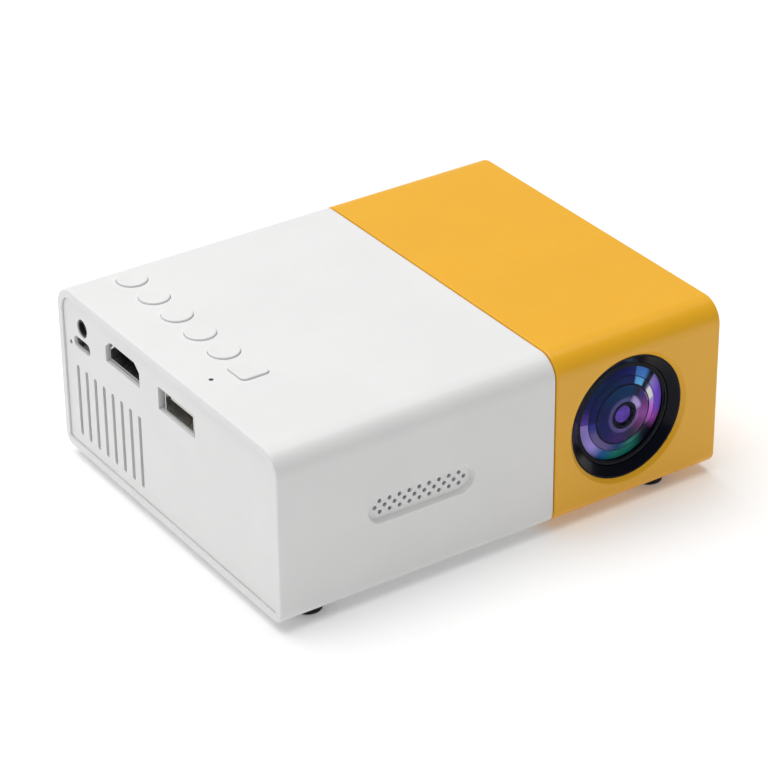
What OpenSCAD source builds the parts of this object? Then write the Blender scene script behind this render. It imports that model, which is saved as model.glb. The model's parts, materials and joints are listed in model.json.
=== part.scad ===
// Palm-size LED projector: two plastic sleeves over a chassis tray, with the optical engine,
// the fan and the mainboard inside. +Y is towards the back, the lens looks along -Y, and the
// origin is on the surface that the feet stand on, under the middle of the casing.

/* [Casing] */
// Width of the casing, from the port end to the focus end
body_w = 126; // [122:1:156]
// Depth of the casing, from front to back
body_d = 101; // [98:1:124]
// Height of the casing, without the feet
body_h = 45; // [44:1:56]
// Wall of both sleeves
wall = 2.2; // [1.8:0.1:2.6]
// Radius of the two upper long edges
corner_r = 6; // [5:0.5:9]
// Radius of the two lower long edges
base_r = 3.3; // [3:0.1:5]
// Rounding of the rim at each end
edge_r = 0.5; // [0.3:0.1:0.8]
// Length of the white sleeve
white_len = 77; // [75:0.5:79]
// Groove between the two sleeves
seam_gap = 0.3; // [0.2:0.05:0.5]
// Length of the tongue that joins the sleeves
tongue_len = 4; // [2:0.5:6]
// Thickness of that tongue
tongue_t = 1.1; // [0.8:0.1:1.3]

/* [End panels] */
// Depth of the port panel below its rim
port_inset = 0.5; // [0.4:0.1:1]
// Depth of the vent panel at the focus end below its rim
vent_inset = 1; // [0.8:0.1:1.5]
// Thickness of the end panels
panel_t = 1.8; // [1.4:0.1:2.2]
// Gap between an end panel and its sleeve
panel_gap = 0.18; // [0.1:0.02:0.3]
// Vent slots in each end
vent_count = 8; // [5:1:8]
// Distance from slot to slot
vent_pitch = 4.3; // [3.5:0.1:4.3]
// Width of a slot
vent_w = 1.4; // [1:0.1:2]
// Height of a slot
vent_h = 20; // [14:0.5:20]
// Rear slot to the back of the casing
vent_rear = 8; // [8:0.5:10]
// Lower end of the slots above the casing's underside
vent_low = 5.2; // [5:0.1:8]

/* [Feet and stand] */
// Height of a foot below the casing
foot_h = 2.5; // [2:0.1:4]
// Radius of a foot
foot_r = 3.6; // [3.4:0.1:4.5]
// Feet to the front and back of the casing
foot_in = 7; // [7:0.1:10]
// Left feet to the port end
foot_left = 11.5; // [10:0.5:14]
// Right feet to the focus end
foot_right = 15; // [12:0.5:16]
// Depth of the pocket that holds a foot
foot_seat = 0.6; // [0.4:0.1:0.8]
// Bore of the tripod nut, the core of a quarter-inch thread
tripod_r = 2.55; // [2.5:0.05:2.6]
// Height of the tripod nut
tripod_h = 8; // [6:0.5:10]

/* [Buttons] */
// Radius of a round button, and half the side of the square one
btn_r = 3.9; // [3.2:0.1:4.2]
// Distance from button to button
btn_pitch = 10.8; // [10.4:0.1:11.5]
// Button row to the port end
btn_left = 15.7; // [15:0.1:18]
// Rear button to the back of the casing
btn_rear = 10; // [9:0.5:14]
// How far a button stands above the casing
btn_up = 0.55; // [0.5:0.05:0.8]
// Travel of a button
btn_travel = 0.4; // [0.3:0.05:0.45]
// Gap round a button
btn_gap = 0.1; // [0.1:0.05:0.25]

/* [Speaker] */
// Length of the grille's dish
grille_w = 29.8; // [28:0.2:32]
// Height of the grille's dish
grille_h = 7.6; // [7:0.2:9]
// Depth of the dish
grille_t = 1.2; // [0.6:0.1:1.4]
// Radius of a grille hole
grille_hole_r = 0.55; // [0.4:0.05:0.6]
// Holes in the middle row
grille_n = 10; // [8:1:10]
// Distance from hole to hole
grille_pitch = 2.75; // [2.5:0.05:2.8]
// Middle of the grille to the port end
speaker_left = 39; // [37:0.5:42]
// Radius of the speaker
speaker_r = 14; // [12:0.5:15]

/* [Lens and focus] */
// Height of the lens axis above the underside
lens_up = 22; // [22:0.1:24]
// Lens axis to the focus end
lens_right = 27.1; // [27:0.1:28]
// Radius of the opening in the amber front
lens_hole_r = 16.4; // [15.8:0.1:16.6]
// Chamfer round that opening
lens_chamfer = 1; // [0.5:0.1:1.4]
// Radius of the lens barrel
barrel_r = 13.5; // [13:0.1:13.6]
// Length of the lens barrel
barrel_len = 25; // [22:1:26]
// Travel of the lens barrel
focus_travel = 4; // [2:0.5:4]
// Teeth on the focus ring
ring_teeth = 44; // [44]
// Teeth on the focus wheel
wheel_teeth = 18; // [18]
// Gear module of both
gear_m = 0.75; // [0.74:0.01:0.75]
// Height of the focus wheel above the lens axis
wheel_up = 12.5; // [12:0.1:12.8]

/* [Engine] */
// Outer width of the engine housing
engine_w = 40; // [38:0.5:41]
// Outer height of the engine housing
engine_h = 35; // [34:0.5:35.2]
// Wall of the engine housing
engine_t = 2; // [1.6:0.1:2.4]
// Length of the engine housing
engine_len = 37; // [35:0.5:39]
// Bore and length of the fan, one standard size
fan_size = 25; // [25]
// Fins on the heat sink
fin_count = 9; // [6:1:10]

/* [Boards and sockets] */
// Top face of the mainboard to the top of the casing
board_drop = 10.6; // [10:0.1:10.6]
// Thickness of the mainboard
board_t = 1.2; // [1:0.1:1.6]
// HDMI socket to the back of the casing
hdmi_rear = 31; // [31:0.1:33]
// USB socket to the back of the casing
usb_rear = 56.2; // [54:0.1:58]
// AV jack to the back of the casing
av_rear = 11.4; // [11.2:0.1:13]

/* [Hidden] */
$fn = 64;

eps = 0.01;                          // how far a cut runs past a face
fit = 0.05;                          // radial clearance of a running fit
slip = 0.2;                          // clearance of a piece laid in place

// Faces of the casing
x_l = -body_w / 2;
x_r = body_w / 2;
x_s = x_l + white_len;
y_f = -body_d / 2;
y_b = body_d / 2;
z_b = foot_h;
z_t = z_b + body_h;
z_m = (z_b + z_t) / 2;
in_f = y_f + wall;
floor_z = z_b + wall;
roof_z = z_t - wall;

// End panels
port_out = x_l + port_inset;
port_in = port_out + panel_t;
vent_out = x_r - vent_inset;
vent_in = vent_out - panel_t;
tab_w = 8;
tab_y = [-24, 2];
tab_l = 4;
tab_t = 1.2;
vent_z0 = z_b + vent_low;
vent_mid_y = y_b - vent_rear - (vent_count - 1) * vent_pitch / 2;

// Chassis tray
tray_t = 1.8;
tray_z = floor_z + slip;
tray_top = tray_z + tray_t;
boss_r = 2.8;
boss_h = 4.4;
screw_r = 1.3;
screw_head_r = 2.2;
screw_head_t = 1.2;
screw_len = 6.4;
foot_x = [x_l + foot_left, x_r - foot_right];
foot_y = [y_f + foot_in, y_b - foot_in];
tripod_x = x_s - 18;
tripod_wall_r = 4.4;
tripod_boss_r = 6.4;

// Mainboard and keypad
board_top = z_t - board_drop;
board_low = board_top - board_t;
board_x0 = port_in + 0.6;
board_x1 = x_s - 21;
board_y0 = y_f + 16.5;
board_y1 = y_b - 4.5;
post_r = 2.4;
post_hole_r = 0.9;
post_at = [[port_in + 8, board_y0 + 4], [board_x1 - 4, board_y0 + 4],
           [board_x1 - 4, board_y1 - 4], [port_in + 22, board_y1 - 4]];
btn_x = x_l + btn_left;
btn_y = [for (i = [0:5]) y_b - btn_rear - i * btn_pitch];
flange_t = 0.75;
flange_w = 0.6;
flange_top = roof_z - 0.25;
plunger_top = flange_top - flange_t - btn_travel - 0.05;
plunger_h = 0.3;
switch_h = 0.9;
switch_w = 4.6;
key_t = 0.8;
key_top = plunger_top - plunger_h - switch_h;
key_w = 9;
key_boss_at = [[btn_x + 3.4, btn_y[0] - btn_pitch / 2], [btn_x + 3.4, btn_y[2] - btn_pitch / 2],
               [btn_x, btn_y[5] - 6.4]];
light_r = 0.55;
light_at = [x_l + 6.4, y_f + 38.2];

// Sockets, placed from the mainboard
hdmi_y = y_b - hdmi_rear;
hdmi_z = board_top + 1.9;
hdmi_w = 15;
hdmi_h = 4.9;
usb_y = y_b - usb_rear;
usb_z = board_top + 0.6;
usb_w = 13.2;
usb_h = 5.8;
av_y = y_b - av_rear;
av_z = board_top + 2.4;
av_r = 1.8;
inlet_y = y_b - 10.9;
inlet_h = 2.6;
inlet_w = 7.4;
inlet_z = board_low - inlet_h / 2;
charge_y = y_b - 5.2;
charge_z = inlet_z - 1.4;
socket_wall = 0.35;
socket_x0 = port_in - 0.9;

// Speaker and its grille
spk_x = x_l + speaker_left;
spk_z = z_b + lens_up;
cloth_t = 0.3;
basket_t = 1.2;
basket_y = in_f + cloth_t;

// Lens, focus gears and engine
lens_x = x_r - lens_right;
lens_z = z_b + lens_up;
ring_r = gear_m * ring_teeth / 2;
wheel_r = gear_m * wheel_teeth / 2;
tooth_h = 0.8 * gear_m;
gear_gap = ring_r + wheel_r;
wheel_dx = sqrt(gear_gap * gear_gap - wheel_up * wheel_up);
wheel_x = lens_x + wheel_dx;
wheel_z = lens_z + wheel_up;
wheel_turn = atan2(wheel_up, wheel_dx);
bezel_y = y_f + 0.9 * lens_chamfer;
bezel_r = lens_hole_r - 0.08;
bezel_bore = barrel_r + 0.2;
bezel_flange_r = bezel_r + 1;
bezel_back = in_f + 1.4;
ring_y0 = bezel_back + 0.3;
ring_y1 = ring_y0 + 6;
ring_skirt = 3.4;
nose_r = barrel_r + 1.6;
holder_nose_y = ring_y1 + 0.4;
holder_y = ring_y1 + ring_skirt + 0.4;
barrel_y0 = y_f + 2.6;
barrel_y1 = barrel_y0 + barrel_len;
engine_y0 = barrel_y1 + focus_travel + 3;
engine_y1 = engine_y0 + engine_len;
axle_r = 1;
axle_head_t = 0.8;
lens_r = barrel_r - 0.6;
plate_w = engine_w - 2 * engine_t - 0.4;
plate_h = engine_h - 2 * engine_t - 0.6;
plate_t = 1.4;
plate_low = lens_z - engine_h / 2 + engine_t + 0.1;
slot_y = [for (s = [4, 9.5, 14.5, 19.5]) engine_y0 + s];
bulkhead_y = engine_y1 - 8;
condenser_r = 12;
led_gap = 0.2;
led_board_t = 1.6;
sink_y = engine_y1 + led_gap + led_board_t;
sink_base = 3.6;
sink_fin = 10.5;
sink_h = engine_h - 2;

// Fan, centred on the vent slots
fan_t = 10;
fan_x0 = port_in + 1;
fan_y = vent_mid_y;
fan_z = tray_top + 0.2 + fan_size / 2;
fan_bore = fan_size / 2 - 1;
fan_hub = 6.5;
fan_blades = 7;
fan_tip_gap = 0.5;

// ---- shared shapes ----

// Rounded rectangle, centred
module round_rect(w, h, r) {
    square([w - 2 * r, h], center = true);
    square([w, h - 2 * r], center = true);
    for (sx = [-1, 1], sy = [-1, 1])
        translate([sx * (w / 2 - r), sy * (h / 2 - r)]) circle(r);
}

// Slot outline of overall length w and height h, with round ends
module slot_2d(w, h) {
    square([w - h, h], center = true);
    for (s = [-1, 1]) translate([s * (w - h) / 2, 0]) circle(h / 2);
}

// An outline in (Y, Z) carried along X from x0 to x1
module along_x(x0, x1) {
    translate([x0, 0, 0]) rotate([90, 0, 90]) linear_extrude(x1 - x0) children();
}

// An outline in (X, Z) carried along Y from y0 to y1
module along_y(y0, y1) {
    translate([0, y1, 0]) rotate([90, 0, 0]) linear_extrude(y1 - y0) children();
}

module cyl_x(x0, x1, y, z, r) {
    translate([x0, y, z]) rotate([0, 90, 0]) cylinder(h = x1 - x0, r = r);
}

module cyl_y(y0, y1, x, z, r, r2 = -1) {
    translate([x, y0, z]) rotate([-90, 0, 0])
        cylinder(h = y1 - y0, r1 = r, r2 = r2 < 0 ? r : r2);
}

module cyl_z(z0, z1, x, y, r) {
    translate([x, y, z0]) cylinder(h = z1 - z0, r = r);
}

// A profile in (radius, y) turned about the lens axis
module turned(x = lens_x, z = lens_z) {
    translate([x, 0, z]) rotate([-90, 0, 0]) rotate_extrude() children();
}

// Box from corner to corner
module box(a, b) {
    translate(a) cube(b - a);
}

// Bar along X whose upper long edges are rounded by r and lower ones by q, and whose rims at
// both ends are rounded by e
module soft_bar(x0, x1, d, h, r, q, e) {
    len = x1 - x0;
    translate([(x0 + x1) / 2, 0, z_m]) {
        translate([0, 0, q - h / 2]) linear_extrude(h - r - q) round_rect(len, d, e);
        for (p = [[1, r], [-1, q]]) {
            translate([0, 0, p[0] * h / 4]) rotate([90, 0, 0])
                linear_extrude(d - 2 * p[1], center = true) round_rect(len, h / 2, e);
            for (sy = [-1, 1])
                translate([-len / 2, sy * (d / 2 - p[1]), p[0] * (h / 2 - p[1])])
                    rotate([0, 90, 0]) rotate_extrude() {
                        square([p[1] - e, len]);
                        translate([0, e]) square([p[1], len - 2 * e]);
                        for (z = [e, len - e]) translate([p[1] - e, z]) circle(e);
                    }
        }
    }
}

// Casing section in (Y, Z), grown by g on every side
module section(g) {
    w = body_d / 2 + g;
    h = body_h / 2 + g;
    r = corner_r + g;
    q = max(base_r + g, 0.2);
    translate([0, z_m]) {
        translate([r - w, 0]) square([2 * (w - r), h]);
        translate([-w, q - h]) square([2 * w, 2 * h - r - q]);
        translate([q - w, -h]) square([2 * (w - q), h]);
        for (s = [-1, 1]) {
            translate([s * (w - r), h - r]) circle(r);
            translate([s * (w - q), q - h]) circle(q);
        }
    }
}

// Straight-sided gear outline: n teeth round pitch radius r, a tooth at angle turn
module gear_2d(n, r, turn) {
    step = 360 / n;
    root = r - tooth_h * 1.25;
    tip = r + tooth_h;
    polygon([for (i = [0:n - 1], p = [[root, -0.29], [tip, -0.13], [tip, 0.13], [root, 0.29]])
        p[0] * [cos(turn + (i + p[1]) * step), sin(turn + (i + p[1]) * step)]]);
}

// Round wire along a smooth curve that leaves a towards b and reaches d from c: a ring of
// corners at each of its stations, square to the run
module wire(a, b, c, d, r) {
    sides = 8;
    stations = 10;
    ring_corners = [for (i = [0:stations])
        let (t = i / stations,
             q = 1 - t,
             middle = q * q * q * a + 3 * q * q * t * b + 3 * q * t * t * c + t * t * t * d,
             run = q * q * (b - a) + 2 * q * t * (c - b) + t * t * (d - c),
             u = cross(run, [0.8, 0.5, 0.33]) / norm(cross(run, [0.8, 0.5, 0.33])),
             v = cross(run, u) / norm(run))
        for (k = [0:sides - 1])
            middle + r * (u * cos(k * 360 / sides) + v * sin(k * 360 / sides))];
    walls = [for (i = [0:stations - 1], k = [0:sides - 1])
        let (p = i * sides + k, n = i * sides + (k + 1) % sides)
        each [[p, p + sides, n], [n, p + sides, n + sides]]];
    caps = [[for (k = [0:sides - 1]) k],
            [for (k = [0:sides - 1]) (stations + 1) * sides - 1 - k]];
    polyhedron(ring_corners, concat(walls, caps));
}

// ---- casing ----

module foot_cuts() {
    for (x = foot_x, y = foot_y) {
        cyl_z(z_b - eps, z_b + foot_seat, x, y, foot_r + 0.1);
        cyl_z(z_b, tray_z, x, y, screw_r + 0.3);
    }
}

module button_outline(i, g) {
    side = 2 * (btn_r + g);
    translate([btn_x, btn_y[i]])
        if (i == 5) round_rect(side, side, 1.6 + g);
        else circle(btn_r + g);
}

module white_sleeve() {
    color([0.93, 0.93, 0.92]) {
        difference() {
            soft_bar(x_l, x_s - seam_gap / 2, body_d, body_h, corner_r, base_r, edge_r);
            along_x(x_l - 1, x_s + 1) section(-wall);
            foot_cuts();
            cyl_z(z_b - eps, tray_z, tripod_x, 0, tripod_wall_r + 0.3);
            translate([0, 0, roof_z - 1]) linear_extrude(wall + 2)
                for (i = [0:5]) button_outline(i, btn_gap);
            cyl_z(roof_z - 1, z_t + 1, light_at[0], light_at[1], light_r + 0.05);
            grille_dish();
            grille_holes();
        }
        for (p = key_boss_at) cyl_z(key_top, roof_z + eps, p[0], p[1], 0.9);
    }
}

// Shallow stadium dish whose sides slope
module grille_dish() {
    slope = 0.7;
    end_x = (grille_w - grille_h) / 2;
    top = grille_h / 2;
    for (s = [-1, 1])
        cyl_y(y_f, y_f + grille_t, spk_x + s * end_x, spk_z, top, top - slope);
    along_x(spk_x - end_x, spk_x + end_x)
        polygon([[y_f, spk_z - top], [y_f, spk_z + top],
                 [y_f + grille_t, spk_z + top - slope], [y_f + grille_t, spk_z - top + slope]]);
    along_y(y_f - 1, y_f) translate([spk_x, spk_z]) slot_2d(grille_w, grille_h);
}

module grille_holes() {
    for (row = [-1, 0, 1]) {
        n = grille_n - abs(row);
        for (i = [0:n - 1])
            cyl_y(y_f - 1, in_f + 1, spk_x + (i - (n - 1) / 2) * grille_pitch,
                  spk_z + row * 1.45, grille_hole_r);
    }
}

module amber_sleeve() {
    color([0.96, 0.70, 0.20])
        difference() {
            union() {
                soft_bar(x_s + seam_gap / 2, x_r, body_d, body_h, corner_r, base_r, edge_r);
                difference() {
                    along_x(x_s - tongue_len, x_s + wall) section(-wall - 0.1);
                    box([x_s - tongue_len - 1, y_f, z_b],
                        [x_s + wall + 1, y_b, tray_top + 1.5]);
                }
            }
            along_x(x_s + wall - eps, x_r + 1) section(-wall);
            along_x(x_s - tongue_len - 1, x_s + wall) section(-wall - 0.1 - tongue_t);
            intersection() {
                along_x(x_s - 1, x_s + wall + 1) section(-wall);
                box([x_s - 1, y_f, z_b], [x_s + wall + 1, y_b, tray_top + 1.5]);
            }
            foot_cuts();
            cyl_y(y_f - 1, in_f + 1, lens_x, lens_z, lens_hole_r);
            cyl_y(y_f - eps, y_f + 0.9 * lens_chamfer, lens_x, lens_z,
                  lens_hole_r + lens_chamfer, lens_hole_r);
        }
}

// End panel with its vent slots and two tabs that lie on the tray
module end_panel(outer, inner) {
    dir = inner > outer ? 1 : -1;
    difference() {
        along_x(min(outer, inner), max(outer, inner)) section(-wall - panel_gap);
        for (i = [0:vent_count - 1])
            along_x(min(outer, inner) - 1, max(outer, inner) + 1)
                translate([y_b - vent_rear - i * vent_pitch, vent_z0 + vent_h / 2])
                    rotate(90) slot_2d(vent_h, vent_w);
    }
    for (y = tab_y)
        translate([inner + dir * (tab_l / 2 - eps), y, tray_top + tab_t / 2 + 0.1])
            cube([tab_l, tab_w, tab_t], center = true);
}

// D-shaped HDMI outline, grown by g
module hdmi_2d(g) {
    w = hdmi_w / 2 + g;
    h = hdmi_h / 2 + g;
    polygon([[-w, -h], [w, -h], [w, h - 2], [w - 2.2, h], [2.2 - w, h], [-w, h - 2]]);
}

module port_panel() {
    color([0.90, 0.90, 0.89])
        difference() {
            end_panel(port_out, port_in);
            along_x(port_out - 1, port_in + 1) {
                translate([hdmi_y, hdmi_z]) hdmi_2d(0.6);
                translate([usb_y, usb_z]) round_rect(usb_w + 3.4, usb_h + 0.4, 0.4);
                translate([inlet_y, inlet_z]) slot_2d(inlet_w + 0.6, inlet_h + 0.6);
            }
            cyl_x(port_out - 1, port_in + 1, av_y, av_z, 2.4);
            cyl_x(port_out - 1, port_in + 1, charge_y, charge_z, light_r + 0.05);
        }
}

module vent_panel() {
    window_z = sqrt(pow(wheel_r + tooth_h, 2) - pow(vent_in - wheel_x, 2)) + 0.6;
    color([0.94, 0.67, 0.18])
        difference() {
            end_panel(vent_out, vent_in);
            along_x(vent_in - 1, vent_out + 1)
                translate([(ring_y0 + ring_y1) / 2, wheel_z])
                    round_rect(ring_y1 - ring_y0 + 1, 2 * window_z, 0.6);
        }
}

// ---- chassis, feet and fasteners ----

module chassis() {
    rib = 1.4;
    color([0.25, 0.26, 0.28])
        difference() {
            union() {
                intersection() {
                    along_x(port_in + slip, vent_in - slip) section(-wall - slip);
                    union() {
                        box([x_l, y_f, tray_z], [x_r, y_b, tray_top]);
                        for (x = foot_x, y = foot_y) cyl_z(tray_z, tray_z + boss_h, x, y, boss_r);
                        // ribs round the foot of the fan
                        box([fan_x0, fan_y - fan_size / 2 - rib, tray_z],
                            [fan_x0 + fan_t + rib, fan_y + fan_size / 2 + rib, tray_top + 2.4]);
                        // cradle behind the speaker
                        box([spk_x - speaker_r - 2, basket_y + basket_t + 0.1, tray_z],
                            [spk_x + speaker_r + 2, basket_y + basket_t + 2.1, spk_z]);
                    }
                }
                cyl_z(tray_z, tray_z + tripod_h + 1, tripod_x, 0, tripod_boss_r);
                for (p = post_at) cyl_z(tray_z, board_low, p[0], p[1], post_r);
            }
            box([fan_x0 - 1, fan_y - fan_size / 2 - 0.1, fan_z - fan_size / 2 - 0.1],
                [fan_x0 + fan_t + 0.1, fan_y + fan_size / 2 + 0.1, board_low]);
            cyl_y(basket_y, basket_y + 6, spk_x, spk_z, speaker_r - 1.2);
            for (x = foot_x, y = foot_y)
                cyl_z(tray_z - 1, tray_z + boss_h + 1, x, y, screw_r - 0.15);
            cyl_z(tray_z - 1, tray_z + tripod_h - slip, tripod_x, 0, tripod_wall_r);
            for (p = post_at) cyl_z(board_low - 8, board_low + 1, p[0], p[1], post_hole_r);
        }
}

module rubber_feet() {
    soft = 0.5;
    color([0.08, 0.08, 0.09])
        for (x = foot_x, y = foot_y)
            difference() {
                translate([x, y, 0]) rotate_extrude() {
                    square([foot_r - soft, z_b + foot_seat - eps]);
                    translate([0, soft]) square([foot_r, z_b + foot_seat - soft - eps]);
                    translate([foot_r - soft, soft]) circle(soft);
                }
                cyl_z(z_b + foot_seat - screw_head_t - 0.2, z_b + 2, x, y, screw_head_r + 0.2);
            }
}

module case_screws() {
    head_z = z_b + foot_seat - screw_head_t;
    color([0.55, 0.56, 0.58])
        for (x = foot_x, y = foot_y)
            difference() {
                union() {
                    cyl_z(head_z, z_b + foot_seat - 0.02, x, y, screw_head_r);
                    cyl_z(z_b, z_b + screw_len, x, y, screw_r - 0.15);
                }
                translate([x, y, head_z + 0.3]) cube([2.6, 0.6, 0.6 + eps], center = true);
                translate([x, y, head_z + 0.3]) cube([0.6, 2.6, 0.6 + eps], center = true);
            }
}

module tripod_nut() {
    color([0.80, 0.64, 0.32])
        difference() {
            cyl_z(z_b + 0.3, tray_z + tripod_h - slip - 0.1, tripod_x, 0, tripod_wall_r - 0.02);
            cyl_z(z_b, z_b + 0.3 + tripod_h, tripod_x, 0, tripod_r);
        }
}

// ---- buttons ----

module button(i) {
    color([0.93, 0.93, 0.92]) {
        translate([0, 0, flange_top - eps]) linear_extrude(z_t + btn_up - 0.25 - flange_top)
            button_outline(i, 0);
        translate([0, 0, z_t + btn_up - 0.25 - 2 * eps]) linear_extrude(0.25)
            button_outline(i, -0.2);
        translate([0, 0, flange_top - flange_t]) linear_extrude(flange_t)
            button_outline(i, flange_w);
    }
}

module up_button() button(0);
module left_button() button(1);
module ok_button() button(2);
module right_button() button(3);
module down_button() button(4);
module power_button() button(5);

module keypad_board() {
    key_low = key_top - key_t;
    led = 0.7;
    color([0.10, 0.35, 0.22])
        difference() {
            union() {
                box([btn_x - key_w / 2, btn_y[5] - 8, key_low],
                    [btn_x + key_w / 2, btn_y[0] + 6.6, key_top - 0.02]);
                box([light_at[0] - 2, light_at[1] - 2.5, key_low],
                    [btn_x, light_at[1] + 2.5, key_top - 0.02]);
                box([light_at[0] - led, light_at[1] - led, key_low],
                    [light_at[0] + led, light_at[1] + led, key_top + led]);
            }
            for (y = [btn_y[0] + 4.6, btn_y[4]])
                cyl_z(key_low - 1, key_top + 1, btn_x + 3.7, y, 0.4);
        }
}

module tact_switches() {
    color([0.75, 0.76, 0.78])
        for (y = btn_y) {
            translate([btn_x, y, key_top + switch_h / 2])
                cube([switch_w, switch_w, switch_h], center = true);
            cyl_z(key_top + switch_h - eps, plunger_top, btn_x, y, 1.1);
        }
}

module top_light() {
    color([0.75, 0.80, 0.85]) {
        cyl_z(key_top + 0.8, z_t - 0.15, light_at[0], light_at[1], light_r);
        cyl_z(roof_z - 1, roof_z - 0.05, light_at[0], light_at[1], light_r + 0.6);
    }
}

module charge_light() {
    color([0.75, 0.80, 0.85])
        cyl_x(port_out + 0.1, port_in + 2.5, charge_y, charge_z, light_r);
}

// ---- lens and focus ----

module lens_bezel() {
    color([0.05, 0.05, 0.07])
        turned()
            polygon([[bezel_r, bezel_y], [bezel_r, in_f + 0.4], [bezel_flange_r, in_f + 0.4],
                     [bezel_flange_r, bezel_back], [bezel_bore, bezel_back],
                     [bezel_bore, barrel_y0 - 0.2], [bezel_r - 0.4, bezel_y]]);
}

module focus_ring() {
    turn_fit = nose_r + fit;
    color([0.12, 0.12, 0.13])
        difference() {
            union() {
                along_y(ring_y0, ring_y1)
                    translate([lens_x, lens_z]) gear_2d(ring_teeth, ring_r, wheel_turn);
                cyl_y(ring_y0, ring_y1 + ring_skirt, lens_x, lens_z, nose_r + 0.7);
            }
            cyl_y(ring_y0 - 1, ring_y1 + ring_skirt + 1, lens_x, lens_z, barrel_r + 0.3);
            cyl_y(ring_y1, ring_y1 + ring_skirt + 1, lens_x, lens_z, turn_fit);
        }
}

module focus_wheel() {
    phase = wheel_turn + 180 + 180 / wheel_teeth;
    color([0.10, 0.10, 0.11])
        difference() {
            along_y(ring_y0, ring_y1)
                translate([wheel_x, wheel_z]) gear_2d(wheel_teeth, wheel_r, phase);
            cyl_y(ring_y0 - 1, ring_y1 + 1, wheel_x, wheel_z, axle_r + fit);
            cyl_y(ring_y0 - 1, ring_y0 + 1, wheel_x, wheel_z, axle_r + 1.6);
        }
}

module focus_axle() {
    color([0.72, 0.73, 0.75]) {
        cyl_y(ring_y0 - 0.1, ring_y0 + axle_head_t, wheel_x, wheel_z, axle_r + 1.1);
        cyl_y(ring_y0, holder_y + 3, wheel_x, wheel_z, axle_r);
    }
}

module lens_holder() {
    color([0.16, 0.16, 0.18])
        difference() {
            union() {
                cyl_y(holder_nose_y, engine_y0 - 0.1, lens_x, lens_z, nose_r);
                cyl_y(holder_y, engine_y0 - 0.1, lens_x, lens_z, nose_r + 1);
                box([lens_x - engine_w / 2, engine_y0 - 2.1, lens_z - engine_h / 2],
                    [lens_x + engine_w / 2, engine_y0 - 0.1, lens_z + engine_h / 2]);
                // arm that carries the wheel's axle
                cyl_y(holder_y, holder_y + 3.4, wheel_x, wheel_z, 2.6);
                along_y(holder_y, holder_y + 3.4) translate([lens_x, lens_z])
                    rotate(wheel_turn) translate([nose_r, -1.6]) square([gear_gap - nose_r, 3.2]);
            }
            cyl_y(holder_nose_y - 1, engine_y0 + 1, lens_x, lens_z, barrel_r + fit);
            cyl_y(holder_y - 1, holder_y + 3.1, wheel_x, wheel_z, axle_r);
        }
}

module lens_barrel() {
    stop_r = lens_r - 3.4;
    color([0.07, 0.07, 0.08])
        turned()
            polygon([[barrel_r, barrel_y0], [barrel_r, barrel_y1], [stop_r, barrel_y1],
                     [stop_r, barrel_y1 - 1.2], [lens_r - 1.4, barrel_y1 - 1.2],
                     [lens_r - 1.4, barrel_y0 + 13], [stop_r, barrel_y0 + 12.6],
                     [stop_r, barrel_y0 + 12], [lens_r - 1.4, barrel_y0 + 10],
                     [lens_r - 1.4, barrel_y0 + 3.4], [lens_r + 0.04, barrel_y0 + 3.4],
                     [lens_r + 0.04, barrel_y0]]);
}

// Lens with both faces ground to spheres: sag y0 and y1 at the middle, edge t thick
module lens_2d(r, y0, t, bulge0, bulge1) {
    arc_fn = 720;
    s0 = bulge0 == 0 ? 0 : (r * r + bulge0 * bulge0) / (2 * bulge0);
    s1 = bulge1 == 0 ? 0 : (r * r + bulge1 * bulge1) / (2 * bulge1);
    intersection() {
        translate([0, y0 - abs(bulge0)]) square([r, t + abs(bulge0) + abs(bulge1)]);
        union() {
            translate([0, y0]) square([r, t]);
            if (bulge0 > 0) intersection() {
                translate([0, y0 - bulge0 + s0]) circle(s0, $fn = arc_fn);
                translate([0, y0 - bulge0]) square([r, bulge0 + eps]);
            }
            if (bulge1 > 0) intersection() {
                translate([0, y0 + t + bulge1 - s1]) circle(s1, $fn = arc_fn);
                translate([0, y0 + t - eps]) square([r, bulge1 + eps]);
            }
        }
    }
}

module front_lens() {
    color([0.35, 0.30, 0.60, 0.6])
        turned() lens_2d(lens_r, barrel_y0 + 0.7, 2.6, 2.2, 0);
}

module middle_lens() {
    color([0.35, 0.45, 0.65, 0.6])
        turned() lens_2d(lens_r - 1.44, barrel_y0 + 7.3, 1.6, 0.9, 0);
}

module rear_lens() {
    color([0.35, 0.55, 0.55, 0.6])
        turned() lens_2d(lens_r - 1.44, barrel_y1 - 4.6, 2.2, 1.2, 1.1);
}

module lens_retainer() {
    color([0.06, 0.06, 0.07])
        turned()
            polygon([[lens_r, barrel_y0 + 0.05], [lens_r, barrel_y0 + 0.6],
                     [lens_r - 0.5, barrel_y0 + 0.4], [lens_r - 0.3, barrel_y0 + 0.05]]);
}

// ---- optical engine ----

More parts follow.
